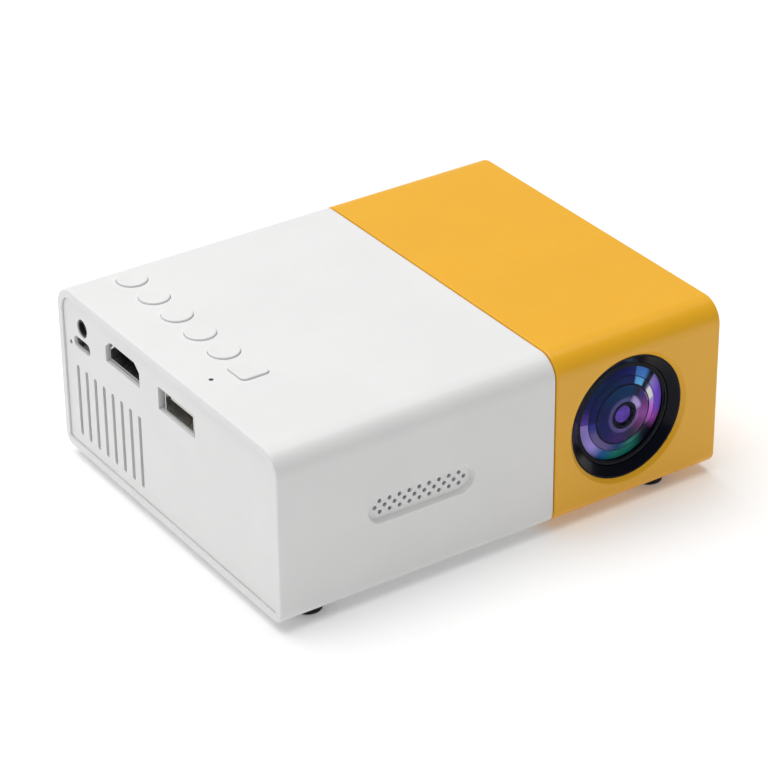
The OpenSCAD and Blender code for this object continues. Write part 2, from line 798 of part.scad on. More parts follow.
module engine_housing() {
    z0 = lens_z - engine_h / 2;
    color([0.13, 0.13, 0.14])
        difference() {
            union() {
                box([lens_x - engine_w / 2, engine_y0, z0],
                    [lens_x + engine_w / 2, engine_y1, lens_z + engine_h / 2 - engine_t]);
                for (s = [-1, 1], y = [engine_y0 + 3, engine_y1 - 3])
                    box([lens_x + s * (engine_w / 2 - 2) - 2, y - 2, tray_top + 0.05],
                        [lens_x + s * (engine_w / 2 - 2) + 2, y + 2, z0 + 1]);
            }
            difference() {
                box([lens_x - engine_w / 2 + engine_t, engine_y0 + 1.4, z0 + engine_t],
                    [lens_x + engine_w / 2 - engine_t, engine_y1 + 1,
                     lens_z + engine_h / 2]);
                // bulkhead for the condenser, and ribs that the plates slide between
                box([lens_x - engine_w / 2, bulkhead_y - 1, z0],
                    [lens_x + engine_w / 2, bulkhead_y + 1, lens_z + engine_h / 2]);
                for (y = slot_y, s = [-1, 1], t = [-1, 1])
                    box([lens_x + s * (engine_w / 2 - engine_t - 0.6) - 0.6,
                         y + t * (plate_t / 2 + 0.6) - 0.5, z0],
                        [lens_x + s * (engine_w / 2 - engine_t - 0.6) + 0.6,
                         y + t * (plate_t / 2 + 0.6) + 0.5, lens_z + engine_h / 2]);
            }
            box([lens_x - 15, engine_y0 - 1, lens_z - 12],
                [lens_x + 15, engine_y0 + 2, lens_z + 12]);
            cyl_y(bulkhead_y - 2, bulkhead_y + 2, lens_x, lens_z, condenser_r - 0.8);
            for (s = [-1, 1], y = [engine_y0 + 0.7, engine_y1 - 4])
                cyl_z(lens_z + 8, lens_z + engine_h, lens_x + s * (engine_w / 2 - 1), y, 0.5);
        }
}

module engine_cover() {
    z1 = lens_z + engine_h / 2;
    color([0.15, 0.15, 0.16])
        difference() {
            box([lens_x - engine_w / 2, engine_y0, z1 - engine_t + 0.05],
                [lens_x + engine_w / 2, engine_y1, z1]);
            for (s = [-1, 1], y = [engine_y0 + 0.7, engine_y1 - 4])
                cyl_z(z1 - engine_t - 1, z1 + 1, lens_x + s * (engine_w / 2 - 1), y, 0.6);
            box([lens_x - 11, slot_y[1] - 0.9, z1 - engine_t - 1],
                [lens_x + 11, slot_y[1] + 0.9, z1 + 1]);
        }
}

module engine_screws() {
    z1 = lens_z + engine_h / 2;
    color([0.65, 0.66, 0.68])
        for (s = [-1, 1], y = [engine_y0 + 0.7, engine_y1 - 4]) {
            cyl_z(z1 + 0.02, z1 + 0.9, lens_x + s * (engine_w / 2 - 1), y, 1.4);
            cyl_z(z1 - 5, z1 + 0.1, lens_x + s * (engine_w / 2 - 1), y, 0.48);
        }
}

module optic_plate(i, t) {
    translate([lens_x, slot_y[i], plate_low + plate_h / 2])
        cube([plate_w, t, plate_h], center = true);
}

module front_fresnel() color([0.80, 0.88, 0.92, 0.5]) optic_plate(0, plate_t);

module lcd_panel() {
    color([0.10, 0.12, 0.20])
        difference() {
            optic_plate(1, plate_t);
            translate([lens_x, slot_y[1] - plate_t / 2, lens_z])
                cube([29, 0.5, 22], center = true);
        }
}

module rear_fresnel() color([0.80, 0.88, 0.92, 0.5]) optic_plate(2, plate_t);

module heat_glass() color([0.60, 0.80, 0.85, 0.5]) optic_plate(3, plate_t - 0.3);

module condenser_lens() {
    color([0.85, 0.92, 0.95, 0.5])
        turned() lens_2d(condenser_r, bulkhead_y + 1.1, 1.2, 0, 4.2);
}

module led_reflector() {
    color([0.88, 0.89, 0.90])
        turned()
            polygon([[condenser_r + 0.6, bulkhead_y + 1.1], [condenser_r + 1.6, bulkhead_y + 1.1],
                     [condenser_r + 1.6, engine_y1 - 2.5], [7, engine_y1 - 0.1],
                     [6, engine_y1 - 0.1], [6, engine_y1 - 0.8],
                     [condenser_r + 0.6, engine_y1 - 3.4]]);
}

module led_board() {
    color([0.90, 0.90, 0.88])
        difference() {
            box([lens_x - 12, engine_y1 + 0.1, lens_z - 12],
                [lens_x + 12, engine_y1 + 0.1 + led_board_t, lens_z + 12]);
            for (s = [-1, 1], t = [-1, 1])
                cyl_y(engine_y1 - 1, engine_y1 + 4, lens_x + s * 10, lens_z + t * 10, 1);
        }
}

module led_emitter() {
    color([0.95, 0.85, 0.35])
        box([lens_x - 4, engine_y1 - 0.8, lens_z - 4], [lens_x + 4, engine_y1 + 0.08, lens_z + 4]);
}

module heat_sink() {
    step = (sink_h - 1.2) / (fin_count - 1);
    color([0.74, 0.75, 0.77]) {
        box([lens_x - engine_w / 2, sink_y, lens_z - sink_h / 2],
            [lens_x + engine_w / 2, sink_y + sink_base, lens_z + sink_h / 2]);
        for (i = [0:fin_count - 1])
            box([lens_x - engine_w / 2, sink_y + sink_base - eps, lens_z - sink_h / 2 + i * step],
                [lens_x + engine_w / 2, sink_y + sink_base + sink_fin,
                 lens_z - sink_h / 2 + i * step + 1.2]);
    }
}

// ---- fan ----

module fan_frame() {
    x1 = fan_x0 + fan_t;
    color([0.10, 0.10, 0.11])
        difference() {
            union() {
                difference() {
                    along_x(fan_x0, x1)
                        translate([fan_y, fan_z]) round_rect(fan_size, fan_size, 2);
                    cyl_x(fan_x0 - 1, x1 + 1, fan_y, fan_z, fan_bore);
                }
                for (a = [30, 150, 270])
                    along_x(x1 - 1.4, x1) translate([fan_y, fan_z]) rotate(a)
                        translate([0, -0.8]) square([fan_bore + 0.4, 1.6]);
                cyl_x(x1 - 1.8, x1, fan_y, fan_z, fan_hub);
            }
            for (s = [-1, 1], t = [-1, 1])
                cyl_x(fan_x0 - 1, x1 + 1, fan_y + s * (fan_size / 2 - 2.4),
                      fan_z + t * (fan_size / 2 - 2.4), 1.2);
            cyl_x(x1 - 3, x1 + 1, fan_y, fan_z, 1 + fit);
        }
}

module fan_rotor() {
    tip = fan_bore - fan_tip_gap;
    x1 = fan_x0 + fan_t - 2.2;
    color([0.13, 0.13, 0.14]) {
        cyl_x(fan_x0 + 0.6, x1, fan_y, fan_z, fan_hub);
        cyl_x(x1 - eps, fan_x0 + fan_t - 0.4, fan_y, fan_z, 1);
        intersection() {
            difference() {
                cyl_x(fan_x0 + 0.8, x1 - 0.2, fan_y, fan_z, tip);
                cyl_x(fan_x0, fan_x0 + fan_t, fan_y, fan_z, fan_hub - 0.3);
            }
            for (i = [0:fan_blades - 1])
                translate([(fan_x0 + 0.8 + x1 - 0.2) / 2, fan_y, fan_z])
                    rotate([i * 360 / fan_blades, 0, 0]) rotate([0, 0, 40])
                        translate([0, 0, fan_hub + 3])
                            cube([12, 0.9, 2 * fan_hub + 2], center = true);
        }
    }
}

// ---- boards and sockets ----

module mainboard() {
    color([0.05, 0.32, 0.20])
        difference() {
            box([board_x0, board_y0, board_low + 0.03], [board_x1, board_y1, board_top]);
            box([board_x0 - 1, usb_y - usb_w / 2 - 0.4, board_low - 1],
                [socket_x0 + 14.6, usb_y + usb_w / 2 + 0.4, board_top + 1]);
            box([board_x0 - 1, hdmi_y - hdmi_w / 2 - 0.4, board_low - 1],
                [socket_x0 + 12.6, hdmi_y + hdmi_w / 2 + 0.4, board_top + 1]);
            for (p = post_at) cyl_z(board_low - 1, board_top + 1, p[0], p[1], post_hole_r + 0.2);
        }
}

module board_screws() {
    color([0.65, 0.66, 0.68])
        for (p = post_at) {
            cyl_z(board_top + 0.03, board_top + 1.3, p[0], p[1], 2);
            cyl_z(board_low - 5, board_top + 0.1, p[0], p[1], post_hole_r - 0.02);
        }
}

module main_chip() {
    color([0.08, 0.08, 0.09])
        box([board_x0 + 24, -8, board_top + 0.03], [board_x0 + 37, 5, board_top + 1.5]);
}

module board_capacitors() {
    color([0.30, 0.31, 0.36])
        for (p = [[22, 22, 2], [28, 22, 2], [34, 21, 2.5], [42, 8, 2], [42, -4, 2], [30, -22, 2.5]])
            cyl_z(board_top + 0.03, board_top + 5, board_x0 + p[0], p[1], p[2]);
}

module board_connectors() {
    color([0.93, 0.92, 0.86]) {
        for (y = [slot_y[1] - 7.6, slot_y[1] + 20.4])
            box([board_x1 - 6, y - 4, board_top + 0.03], [board_x1 - 1, y + 4, board_top + 4]);
        box([board_x1 - 6, slot_y[1] + 0.4, board_top + 0.03],
            [board_x1 - 1.5, slot_y[1] + 12.4, board_top + 2]);
        box([board_x0 + 20, board_y0 + 2, board_low - 4], [board_x0 + 28, board_y0 + 7, board_low]);
    }
}

module hdmi_shell() {
    color([0.70, 0.71, 0.73])
        along_x(socket_x0, socket_x0 + 12) translate([hdmi_y, hdmi_z])
            difference() {
                hdmi_2d(0);
                hdmi_2d(-socket_wall);
            }
}

module hdmi_insert() {
    color([0.06, 0.06, 0.07]) {
        along_x(socket_x0 + 9, socket_x0 + 11.8) translate([hdmi_y, hdmi_z])
            hdmi_2d(-socket_wall - 0.03);
        box([socket_x0 + 1.6, hdmi_y - 5.6, hdmi_z - 0.1], [socket_x0 + 9.2, hdmi_y + 5.6, hdmi_z + 1]);
    }
}

module usb_shell() {
    color([0.72, 0.73, 0.75])
        along_x(socket_x0, socket_x0 + 14) translate([usb_y, usb_z])
            difference() {
                round_rect(usb_w, usb_h, 0.6);
                round_rect(usb_w - 2 * socket_wall, usb_h - 2 * socket_wall, 0.3);
            }
}

module usb_insert() {
    inner_w = usb_w / 2 - socket_wall - 0.12;
    inner_h = usb_h / 2 - socket_wall - 0.12;
    color([0.88, 0.88, 0.86]) {
        box([socket_x0 + 10, usb_y - inner_w, usb_z - inner_h],
            [socket_x0 + 13.8, usb_y + inner_w, usb_z + inner_h]);
        box([socket_x0 + 1, usb_y - 5.6, usb_z + inner_h - 2.2],
            [socket_x0 + 10.1, usb_y + 5.6, usb_z + inner_h - 0.3]);
    }
}

module av_jack() {
    color([0.07, 0.07, 0.08])
        difference() {
            union() {
                box([port_in + 0.3, av_y - 3, board_top + 0.03],
                    [port_in + 12, av_y + 3, min(av_z + av_r + 0.3, key_top - key_t - 0.1)]);
                cyl_x(port_out + 0.3, port_in + 0.4, av_y, av_z, 2.25);
            }
            cyl_x(port_out - 1, port_in + 11, av_y, av_z, av_r);
        }
}

module power_inlet() {
    color([0.66, 0.67, 0.69]) {
        along_x(port_out + 0.6, port_out + 6.6) translate([inlet_y, inlet_z - 0.03])
            difference() {
                slot_2d(inlet_w, inlet_h);
                slot_2d(inlet_w - 2 * socket_wall, inlet_h - 2 * socket_wall);
            }
        along_x(port_out + 5.6, port_out + 6.6) translate([inlet_y, inlet_z - 0.03])
            slot_2d(inlet_w - socket_wall, inlet_h - socket_wall);
        box([port_out + 2, inlet_y - 2.4, inlet_z - 0.3], [port_out + 6, inlet_y + 2.4, inlet_z + 0.3]);
    }
}

// ---- speaker ----

module speaker_basket() {
    y = basket_y;
    color([0.50, 0.51, 0.53])
        turned(spk_x, spk_z)
            polygon([[speaker_r, y], [speaker_r, y + basket_t], [speaker_r - 1.4, y + basket_t],
                     [7.6, y + 5], [4, y + 5], [4, y + 4], [7.2, y + 4],
                     [speaker_r - 2.2, y + 0.9], [speaker_r - 2.2, y]]);
}

module speaker_cone() {
    y = basket_y;
    color([0.12, 0.12, 0.13])
        turned(spk_x, spk_z)
            polygon([[speaker_r - 2.4, y + 0.2], [speaker_r - 2.4, y + 0.5], [4.2, y + 2.6],
                     [3.4, y + 3.4], [0, y + 2.4], [0, y + 2], [3.3, y + 2.9], [4, y + 2.2]]);
}

module speaker_magnet() {
    y = basket_y + 5.03;
    color([0.30, 0.31, 0.33]) {
        cyl_y(y, y + 3.4, spk_x, spk_z, 7.4);
        cyl_y(y + 3.4 - eps, y + 4.4, spk_x, spk_z, 6.6);
    }
}

module grille_cloth() {
    color([0.10, 0.10, 0.11])
        along_y(in_f + 0.02, in_f + cloth_t - 0.02)
            translate([spk_x, spk_z]) slot_2d(grille_w, grille_h);
}

// ---- wiring ----

module lcd_flex() {
    top = lens_z + engine_h / 2 + 0.5;
    low = plate_low + plate_h + 0.1;
    x1 = board_x1 - 1.4;
    color([0.80, 0.48, 0.14]) {
        box([lens_x - 9, slot_y[1] - 0.1, low], [lens_x + 9, slot_y[1] + 0.1, top]);
        box([lens_x - engine_w / 2 - 2.2, slot_y[1] - 0.1, top], [lens_x + 9, slot_y[1] + 9, top + 0.2]);
        box([lens_x - engine_w / 2 - 2.2, slot_y[1] - 0.1, board_top + 1],
            [lens_x - engine_w / 2 - 2, slot_y[1] + 9, top + 0.2]);
        box([x1, slot_y[1] - 0.1, board_top + 1],
            [lens_x - engine_w / 2 - 2, slot_y[1] + 9, board_top + 1.2]);
    }
}

module fan_wires() {
    plug = [board_x0 + 23, board_y0 + 7.1, board_low - 2];
    color([0.75, 0.10, 0.10])
        for (s = [0, 1]) {
            start = [fan_x0 + fan_t + 0.1, fan_y - 9 - 1.5 * s, fan_z + fan_size / 2 - 3];
            end = plug + [1.5 * s, 0, 0];
            wire(start, start + [12, 0, 0], end + [0, 14, 0], end, 0.5);
        }
}

module speaker_wires() {
    plug = [board_x0 + 23, board_y0 + 4.5, board_low - 4.1];
    color([0.10, 0.10, 0.12])
        for (s = [0, 1]) {
            start = [spk_x + 1.5 * s, basket_y + 9.6, spk_z + 3];
            end = plug + [1.5 * s, 0, 0];
            wire(start, start + [0, 3, 0], end - [0, 0, 7], end, 0.5);
        }
}

white_sleeve();
amber_sleeve();
port_panel();
vent_panel();
chassis();
rubber_feet();
case_screws();
tripod_nut();
up_button();
left_button();
ok_button();
right_button();
down_button();
power_button();
keypad_board();
tact_switches();
top_light();
charge_light();
lens_bezel();
focus_ring();
focus_wheel();
focus_axle();
lens_holder();
lens_barrel();
front_lens();
middle_lens();
rear_lens();
lens_retainer();
engine_housing();
engine_cover();
engine_screws();
front_fresnel();
lcd_panel();
rear_fresnel();
heat_glass();
condenser_lens();
led_reflector();
led_board();
led_emitter();
heat_sink();
fan_frame();
fan_rotor();
mainboard();
board_screws();
main_chip();
board_capacitors();
board_connectors();
hdmi_shell();
hdmi_insert();
usb_shell();
usb_insert();
av_jack();
power_inlet();
speaker_basket();
speaker_cone();
speaker_magnet();
grille_cloth();
lcd_flex();
fan_wires();
speaker_wires();
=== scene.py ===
"""Finishes and fine pieces of a palm-size LED projector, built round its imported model."""

import json
import math

import bpy
import numpy as np
from bpy.props import FloatProperty, FloatVectorProperty, IntProperty, PointerProperty
from mathutils import Matrix, Vector


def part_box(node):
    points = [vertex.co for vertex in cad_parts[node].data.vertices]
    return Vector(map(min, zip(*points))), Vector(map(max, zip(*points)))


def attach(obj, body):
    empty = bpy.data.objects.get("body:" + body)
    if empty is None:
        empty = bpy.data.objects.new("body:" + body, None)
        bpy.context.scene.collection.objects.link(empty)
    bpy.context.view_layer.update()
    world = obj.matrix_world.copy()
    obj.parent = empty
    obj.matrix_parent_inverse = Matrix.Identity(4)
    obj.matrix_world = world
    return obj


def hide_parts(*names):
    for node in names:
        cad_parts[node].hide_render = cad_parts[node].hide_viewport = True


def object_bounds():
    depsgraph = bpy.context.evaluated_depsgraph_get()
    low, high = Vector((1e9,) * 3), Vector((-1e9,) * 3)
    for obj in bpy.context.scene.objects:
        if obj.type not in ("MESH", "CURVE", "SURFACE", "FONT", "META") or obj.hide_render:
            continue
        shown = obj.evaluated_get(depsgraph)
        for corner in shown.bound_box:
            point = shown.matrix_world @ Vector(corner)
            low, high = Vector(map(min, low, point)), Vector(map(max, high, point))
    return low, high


bl_info = {
    "name": "Palm projector finishes",
    "version": (1, 0, 0),
    "blender": (4, 5, 0),
    "location": "3D View > Sidebar > Projector",
    "description": "Builds the lens, caps, sockets, fan and finishes of a palm-size LED projector",
    "category": "Object",
}

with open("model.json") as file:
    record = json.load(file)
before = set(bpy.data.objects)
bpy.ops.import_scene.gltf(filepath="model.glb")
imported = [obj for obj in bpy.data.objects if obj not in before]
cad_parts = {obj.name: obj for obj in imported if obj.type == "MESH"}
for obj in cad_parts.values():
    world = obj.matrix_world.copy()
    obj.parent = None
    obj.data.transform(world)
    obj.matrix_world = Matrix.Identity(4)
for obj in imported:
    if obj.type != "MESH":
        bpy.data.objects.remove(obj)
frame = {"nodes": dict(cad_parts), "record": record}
cad_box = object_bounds()

MM = 0.001
TURN = 2 * math.pi
SLOT_OF = {p["node"]: p["material_slot"] for p in frame["record"]["subparts"]}
BUTTONS = ("up", "left", "ok", "right", "down", "power")


# ---- surfaces ----


def middle(node):
    """Middle of a CAD node's box."""
    low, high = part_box(node)
    return (low + high) / 2


def quads(rows, cols):
    """Corners of the faces of a grid whose columns close up: each face takes a point, the next
    one round, and the same two of the next row."""
    row, col = np.meshgrid(np.arange(rows - 1), np.arange(cols), indexing="ij")
    after = (col + 1) % cols
    corners = [row * cols + col, row * cols + after, (row + 1) * cols + after, (row + 1) * cols + col]
    return np.stack(corners, -1).reshape(-1, 4)


def weld(points, faces):
    """Points at one place become one point, so that a row drawn together is a pole, and a quad
    that loses a corner there becomes a triangle."""
    places, back = np.unique(np.round(points * 1e8).astype(np.int64), axis=0, return_inverse=True)
    faces = back.reshape(-1)[faces]
    same = faces == np.roll(faces, -1, axis=1)
    whole = faces[~same.any(1)]
    single = same.sum(1) == 1
    gone = same[single].argmax(1)
    kept = (gone[:, None] + np.array([1, 2, 3])) % 4
    return places / 1e8, whole, np.take_along_axis(faces[single], kept, 1)


def wedges(points, faces):
    """Six times the volume between the faces and the origin, negative where they face inwards."""
    a, b, c = points[faces[:, 0]], points[faces[:, 1]], points[faces[:, 2]]
    volume = (np.cross(a, b) * c).sum()
    if faces.shape[1] == 4:
        volume += (np.cross(a, c) * points[faces[:, 3]]).sum()
    return volume


def skin(grid):
    """Points, quads and triangles over a grid that closes up on itself, facing outwards."""
    points, four, three = weld(grid.reshape(-1, 3), quads(*grid.shape[:2]))
    if wedges(points, four) + wedges(points, three) < 0:
        four, three = four[:, ::-1], three[:, ::-1]
    return points, four, three


def shell(grid):
    """Closed skin over a grid of points, rows x columns: columns close up, and the first and last
    rows are each drawn together to their middle where they aren't one already."""
    first, last = grid[:1].mean(1, keepdims=True), grid[-1:].mean(1, keepdims=True)
    ends = [np.repeat(end, grid.shape[1], 1) for end in (first, last)]
    return skin(np.concatenate([ends[0], grid, ends[1]]))


def piece(name, shells, material, body, stands_for=(), crease=40):
    """One object from closed shells, in the row frame, with edges sharper than crease kept hard."""
    points, faces, count = [], [], 0
    for own, four, three in shells:
        points.append(own)
        faces += (four + count).tolist() + (three + count).tolist()
        count += len(own)
    mesh = bpy.data.meshes.new(name)
    mesh.from_pydata(np.concatenate(points).tolist(), [], faces)
    mesh.polygons.foreach_set("use_smooth", np.ones(len(faces), bool))
    mesh.set_sharp_from_angle(angle=math.radians(crease))
    mesh.materials.append(material)
    made = bpy.data.objects.new(name, mesh)
    bpy.context.scene.collection.objects.link(made)
    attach(made, body)
    if stands_for:
        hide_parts(*stands_for)
    return made


def carried(profile, centre, axis, sides, wave=None):
    """Grid of a profile of (radius, height along the axis) carried round it: at angle a the point
    is the centre plus radius times (cos a, sin a) across the axis. wave(a, radius, height) may
    push the radius and height about."""
    profile = np.asarray(profile, float)
    angle = np.linspace(0, TURN, sides, endpoint=False)[None, :]
    radius, height = profile[:, :1] + 0 * angle, profile[:, 1:] + 0 * angle
    if wave:
        radius, height = wave(angle, radius, height)
    across = (radius * np.cos(angle), radius * np.sin(angle))
    order = {"x": (height, *across), "y": (across[0], height, across[1]), "z": (*across, height)}
    return np.stack(order[axis], -1) + np.asarray(centre, float)


def turned(profile, centre, axis="y", sides=128):
    """Closed skin of an open profile carried round the axis, its ends drawn together on it."""
    return shell(carried(profile, centre, axis, sides))


def turned_ring(profile, centre, wave=None, axis="y", sides=192):
    """Closed skin of a closed profile carried round the axis: a ring, without poles."""
    grid = carried(profile, centre, axis, sides, wave)
    return skin(np.concatenate([grid, grid[:1]]))


def swept(outline, path, up):
    """Outline (side, rise) carried along a path: each station's run is the difference of its
    neighbours, side is run x up and rise is side x run, and the outline is laid out on those."""
    path = np.asarray(path, float)
    run = np.gradient(path, axis=0)
    run /= np.linalg.norm(run, axis=1, keepdims=True)
    side = np.cross(run, np.asarray(up, float))
    side /= np.linalg.norm(side, axis=1, keepdims=True)
    rise = np.cross(side, run)
    x, y = np.asarray(outline, float)[None, :, :1], np.asarray(outline, float)[None, :, 1:]
    return shell(path[:, None] + side[:, None] * x + rise[:, None] * y)


def rounded(half_w, half_h, corner, steps=8):
    """Outline of a rounded rectangle: four quarter circles about the corner middles."""
    angle = np.linspace(0, math.pi / 2, steps)[None, :] + np.arange(4)[:, None] * math.pi / 2
    sx, sy = np.array([1, -1, -1, 1])[:, None], np.array([1, 1, -1, -1])[:, None]
    x = sx * (half_w - corner) + corner * np.cos(angle)
    y = sy * (half_h - corner) + corner * np.sin(angle)
    return np.stack([x, y], -1).reshape(-1, 2)


def bezier(a, b, c, d, steps):
    """Points (1-t)^3 a + 3(1-t)^2 t b + 3(1-t) t^2 c + t^3 d for even steps of t."""
    t = np.linspace(0, 1, steps)[:, None]
    a, b, c, d = (np.asarray(p, float) for p in (a, b, c, d))
    return (1 - t) ** 3 * a + 3 * (1 - t) ** 2 * t * b + 3 * (1 - t) * t**2 * c + t**3 * d


# ---- finishes ----


class Value:
    """A number socket of a material. Arithmetic on it adds Math nodes."""

    def __init__(self, finish, socket):
        self.finish, self.socket = finish, socket

    def __add__(self, other):
        return self.finish.maths("ADD", self, other)

    def __radd__(self, other):
        return self.finish.maths("ADD", other, self)

    def __sub__(self, other):
        return self.finish.maths("SUBTRACT", self, other)

    def __rsub__(self, other):
        return self.finish.maths("SUBTRACT", other, self)

    def __mul__(self, other):
        return self.finish.maths("MULTIPLY", self, other)

    def __truediv__(self, other):
        return self.finish.maths("DIVIDE", self, other)

    def between(self, low, high):
        """0 below low, 1 above high, and a soft step in between."""
        settings = {"interpolation_type": "SMOOTHSTEP"}
        sockets = {"Value": self, "From Min": low, "From Max": high}
        return self.finish.add("ShaderNodeMapRange", settings, sockets)

    def near(self, place, half, soft):
        """1 where the value is within half of place, falling to 0 over soft."""
        away = self.finish.maths("ABSOLUTE", self - place)
        return 1 - away.between(half, half + soft)


class Finish:
    """A material under construction: a Principled shader and what feeds it."""

    def __init__(self, name):
        self.material = bpy.data.materials.new(name)
        self.material.use_nodes = True
        self.tree = self.material.node_tree
        self.tree.nodes.clear()
        self.shader = self.tree.nodes.new("ShaderNodeBsdfPrincipled")
        output = self.tree.nodes.new("ShaderNodeOutputMaterial")
        self.tree.links.new(self.shader.outputs[0], output.inputs[0])
        self.place = self.add("ShaderNodeTexCoord", {}, {}, "Object")

    def feed(self, node, sockets):
        for key, value in sockets.items():
            if isinstance(value, Value):
                self.tree.links.new(value.socket, node.inputs[key])
            else:
                node.inputs[key].default_value = value

    def add(self, kind, settings, sockets, output=0):
        """One output of a new node, whose settings come first and then its sockets."""
        node = self.tree.nodes.new(kind)
        for key, value in settings.items():
            setattr(node, key, value)
        self.feed(node, sockets)
        return Value(self, node.outputs[output])

    def maths(self, operation, *numbers):
        return self.add("ShaderNodeMath", {"operation": operation}, dict(enumerate(numbers)))

    def ramp(self, place, stops):
        """Colour along place, from 0 to 1, with stops of (position, colour) in rising order."""
        made = self.add("ShaderNodeValToRGB", {}, {"Fac": place})
        elements = made.socket.node.color_ramp.elements
        while len(elements) < len(stops):
            elements.new(0.5)
        for element, (at, colour) in zip(elements, stops):
            element.position, element.color = at, (*colour, 1)
        return made

    def set(self, **sockets):
        """Principled sockets, with _ for each blank in a name."""
        self.feed(self.shader, {key.replace("_", " "): value for key, value in sockets.items()})

    def mixed(self, amount, a, b):
        """Colour a where amount is 0 and b where it is 1. The Mix node's colours are its sockets
        6 and 7, and its colour output is number 2."""
        a, b = (value if isinstance(value, Value) else (*value, 1) for value in (a, b))
        return self.add("ShaderNodeMix", {"data_type": "RGBA"}, {0: amount, 6: a, 7: b}, 2)

    def noise(self, size, detail=2.0, rough=0.5, place=None):
        """Noise whose features are about size metres across."""
        sockets = {"Vector": place or self.place, "Scale": 1 / size, "Detail": detail, "Roughness": rough}
        return self.add("ShaderNodeTexNoise", {}, sockets)

    def cells(self, size, feature="F1"):
        """Distance pattern of scattered points about size metres apart."""
        sockets = {"Vector": self.place, "Scale": 1 / size}
        return self.add("ShaderNodeTexVoronoi", {"feature": feature}, sockets)

    def stretched(self, scale):
        """The place multiplied along each axis: a pattern on it is drawn out where scale is low."""
        return self.add("ShaderNodeMapping", {}, {"Vector": self.place, "Scale": scale})

    def parts_of(self, vector):
        """The three numbers of a vector."""
        return [self.add("ShaderNodeSeparateXYZ", {}, {"Vector": vector}, k) for k in range(3)]

    def relief(self, height, depth):
        """Bump whose height runs over depth metres."""
        bump = self.add("ShaderNodeBump", {}, {"Height": height, "Distance": depth, "Strength": 1.0})
        self.set(Normal=bump)


def shade(colour, factor):
    return tuple(min(1.0, max(0.0, part * factor)) for part in colour)


def moulded(name, colour, rough, grain, depth, tint=0.04, specular=0.5, fleck=None):
    """Moulded plastic or rubber: slow cloudiness of the colour, a fine spark-eroded grain, a long
    soft waviness of the wall, and handling marks in the gloss."""
    made = Finish(name)
    cloud = made.noise(18 * MM, 3)
    fine = made.noise(grain, 3, 0.6)
    sink = made.noise(9 * MM, 1)
    smear = made.noise(5 * MM, 4, 0.7, made.stretched((1, 1, 2.4)))
    tone = made.mixed(cloud.between(0.3, 0.7), shade(colour, 1 - tint), shade(colour, 1 + tint))
    if fleck:
        tone = made.mixed(made.noise(0.25 * MM, 1).between(0.6, 0.72) * 0.6, tone, fleck)
    gloss = rough + (fine - 0.5) * 0.12 + (smear - 0.5) * 0.16
    made.set(Base_Color=tone, Roughness=gloss, Specular_IOR_Level=specular)
    made.relief(fine + sink * 6, depth)
    return made


def metal(name, colour, rough, lines, tint=0.08, spots=0.0):
    """Metal with fine lines drawn out along the axis where lines is lowest, and faint clouding
    and pits."""
    made = Finish(name)
    streak = made.noise(0.3 * MM, 3, 0.6, made.stretched(lines))
    cloud = made.noise(4 * MM, 4)
    tone = made.mixed(cloud, shade(colour, 1 - tint), shade(colour, 1 + tint))
    if spots:
        pit = 1 - made.cells(0.7 * MM).between(0.1, 0.35)
        tone = made.mixed(pit * spots, tone, shade(colour, 0.35))
    made.set(Base_Color=tone, Metallic=1.0, Roughness=rough + (streak - 0.5) * 0.22 + (cloud - 0.5) * 0.08)
    made.relief(streak, 0.008 * MM)
    return made


def glass(name, colour, alpha, rough=0.04):
    """Clear or tinted glass with dust and wipe marks that only show in its gloss."""
    made = Finish(name)
    wipe = made.noise(3 * MM, 4, 0.7, made.stretched((1, 1, 3)))
    dust = 1 - made.cells(0.9 * MM).between(0.02, 0.06)
    tone = made.mixed(wipe, shade(colour, 0.9), shade(colour, 1.1))
    made.set(Base_Color=tone, Roughness=rough + wipe * 0.05 + dust * 0.2, Alpha=alpha, IOR=1.52)
    return made


def board(name, mask, copper, tin):
    """Circuit board: solder mask over tracks, with tinned pads and vias."""
    made = Finish(name)
    tracks = 1 - made.cells(1.6 * MM, "DISTANCE_TO_EDGE").between(0.05, 0.09)
    pads = 1 - made.cells(2.6 * MM).between(0.12, 0.16)
    cloud = made.noise(3 * MM, 3)
    tone = made.mixed(cloud, shade(mask, 0.85), shade(mask, 1.1))
    tone = made.mixed(tracks * 0.55, tone, copper)
    tone = made.mixed(pads, tone, tin)
    made.set(Base_Color=tone, Metallic=pads * 0.9, Roughness=0.38 + cloud * 0.12)
    made.relief(tracks + pads * 2, 0.02 * MM)
    return made


def woven(name, colour, pitch):
    """Plain weave: the height is the product of a wave along the cloth and one up it, and the colour
    follows it as painted shade, so the thread tops are paler than the gaps."""
    made = Finish(name)
    x, _, z = made.parts_of(made.place)
    warp, weft = (made.maths("SINE", along * (TURN / pitch)) for along in (x, z))
    height = warp * weft * 0.5 + 0.5
    fibre = made.noise(0.06 * MM, 2)
    made.set(
        # Painted shade: the gaps between threads are darker and the thread tops lighter.
        Base_Color=made.mixed(height * 0.7 + fibre * 0.3, shade(colour, 0.4), shade(colour, 1.8)),
        Roughness=0.85 + (fibre - 0.5) * 0.2,
        Sheen_Weight=0.3,
    )
    made.relief(height + fibre * 0.4, 0.08 * MM)
    return made


def striped(name, colour, line, pitch):
    """Flexible film with printed conductors side by side under its cover."""
    made = Finish(name)
    _, y, _ = made.parts_of(made.place)
    track = made.maths("SINE", y * (TURN / pitch)).between(-0.2, 0.3)
    cloud = made.noise(2 * MM, 3)
    tone = made.mixed(track, shade(colour, 0.9), line)
    made.set(Base_Color=tone, Roughness=0.32 + cloud * 0.15)
    made.relief(track, 0.01 * MM)
    return made


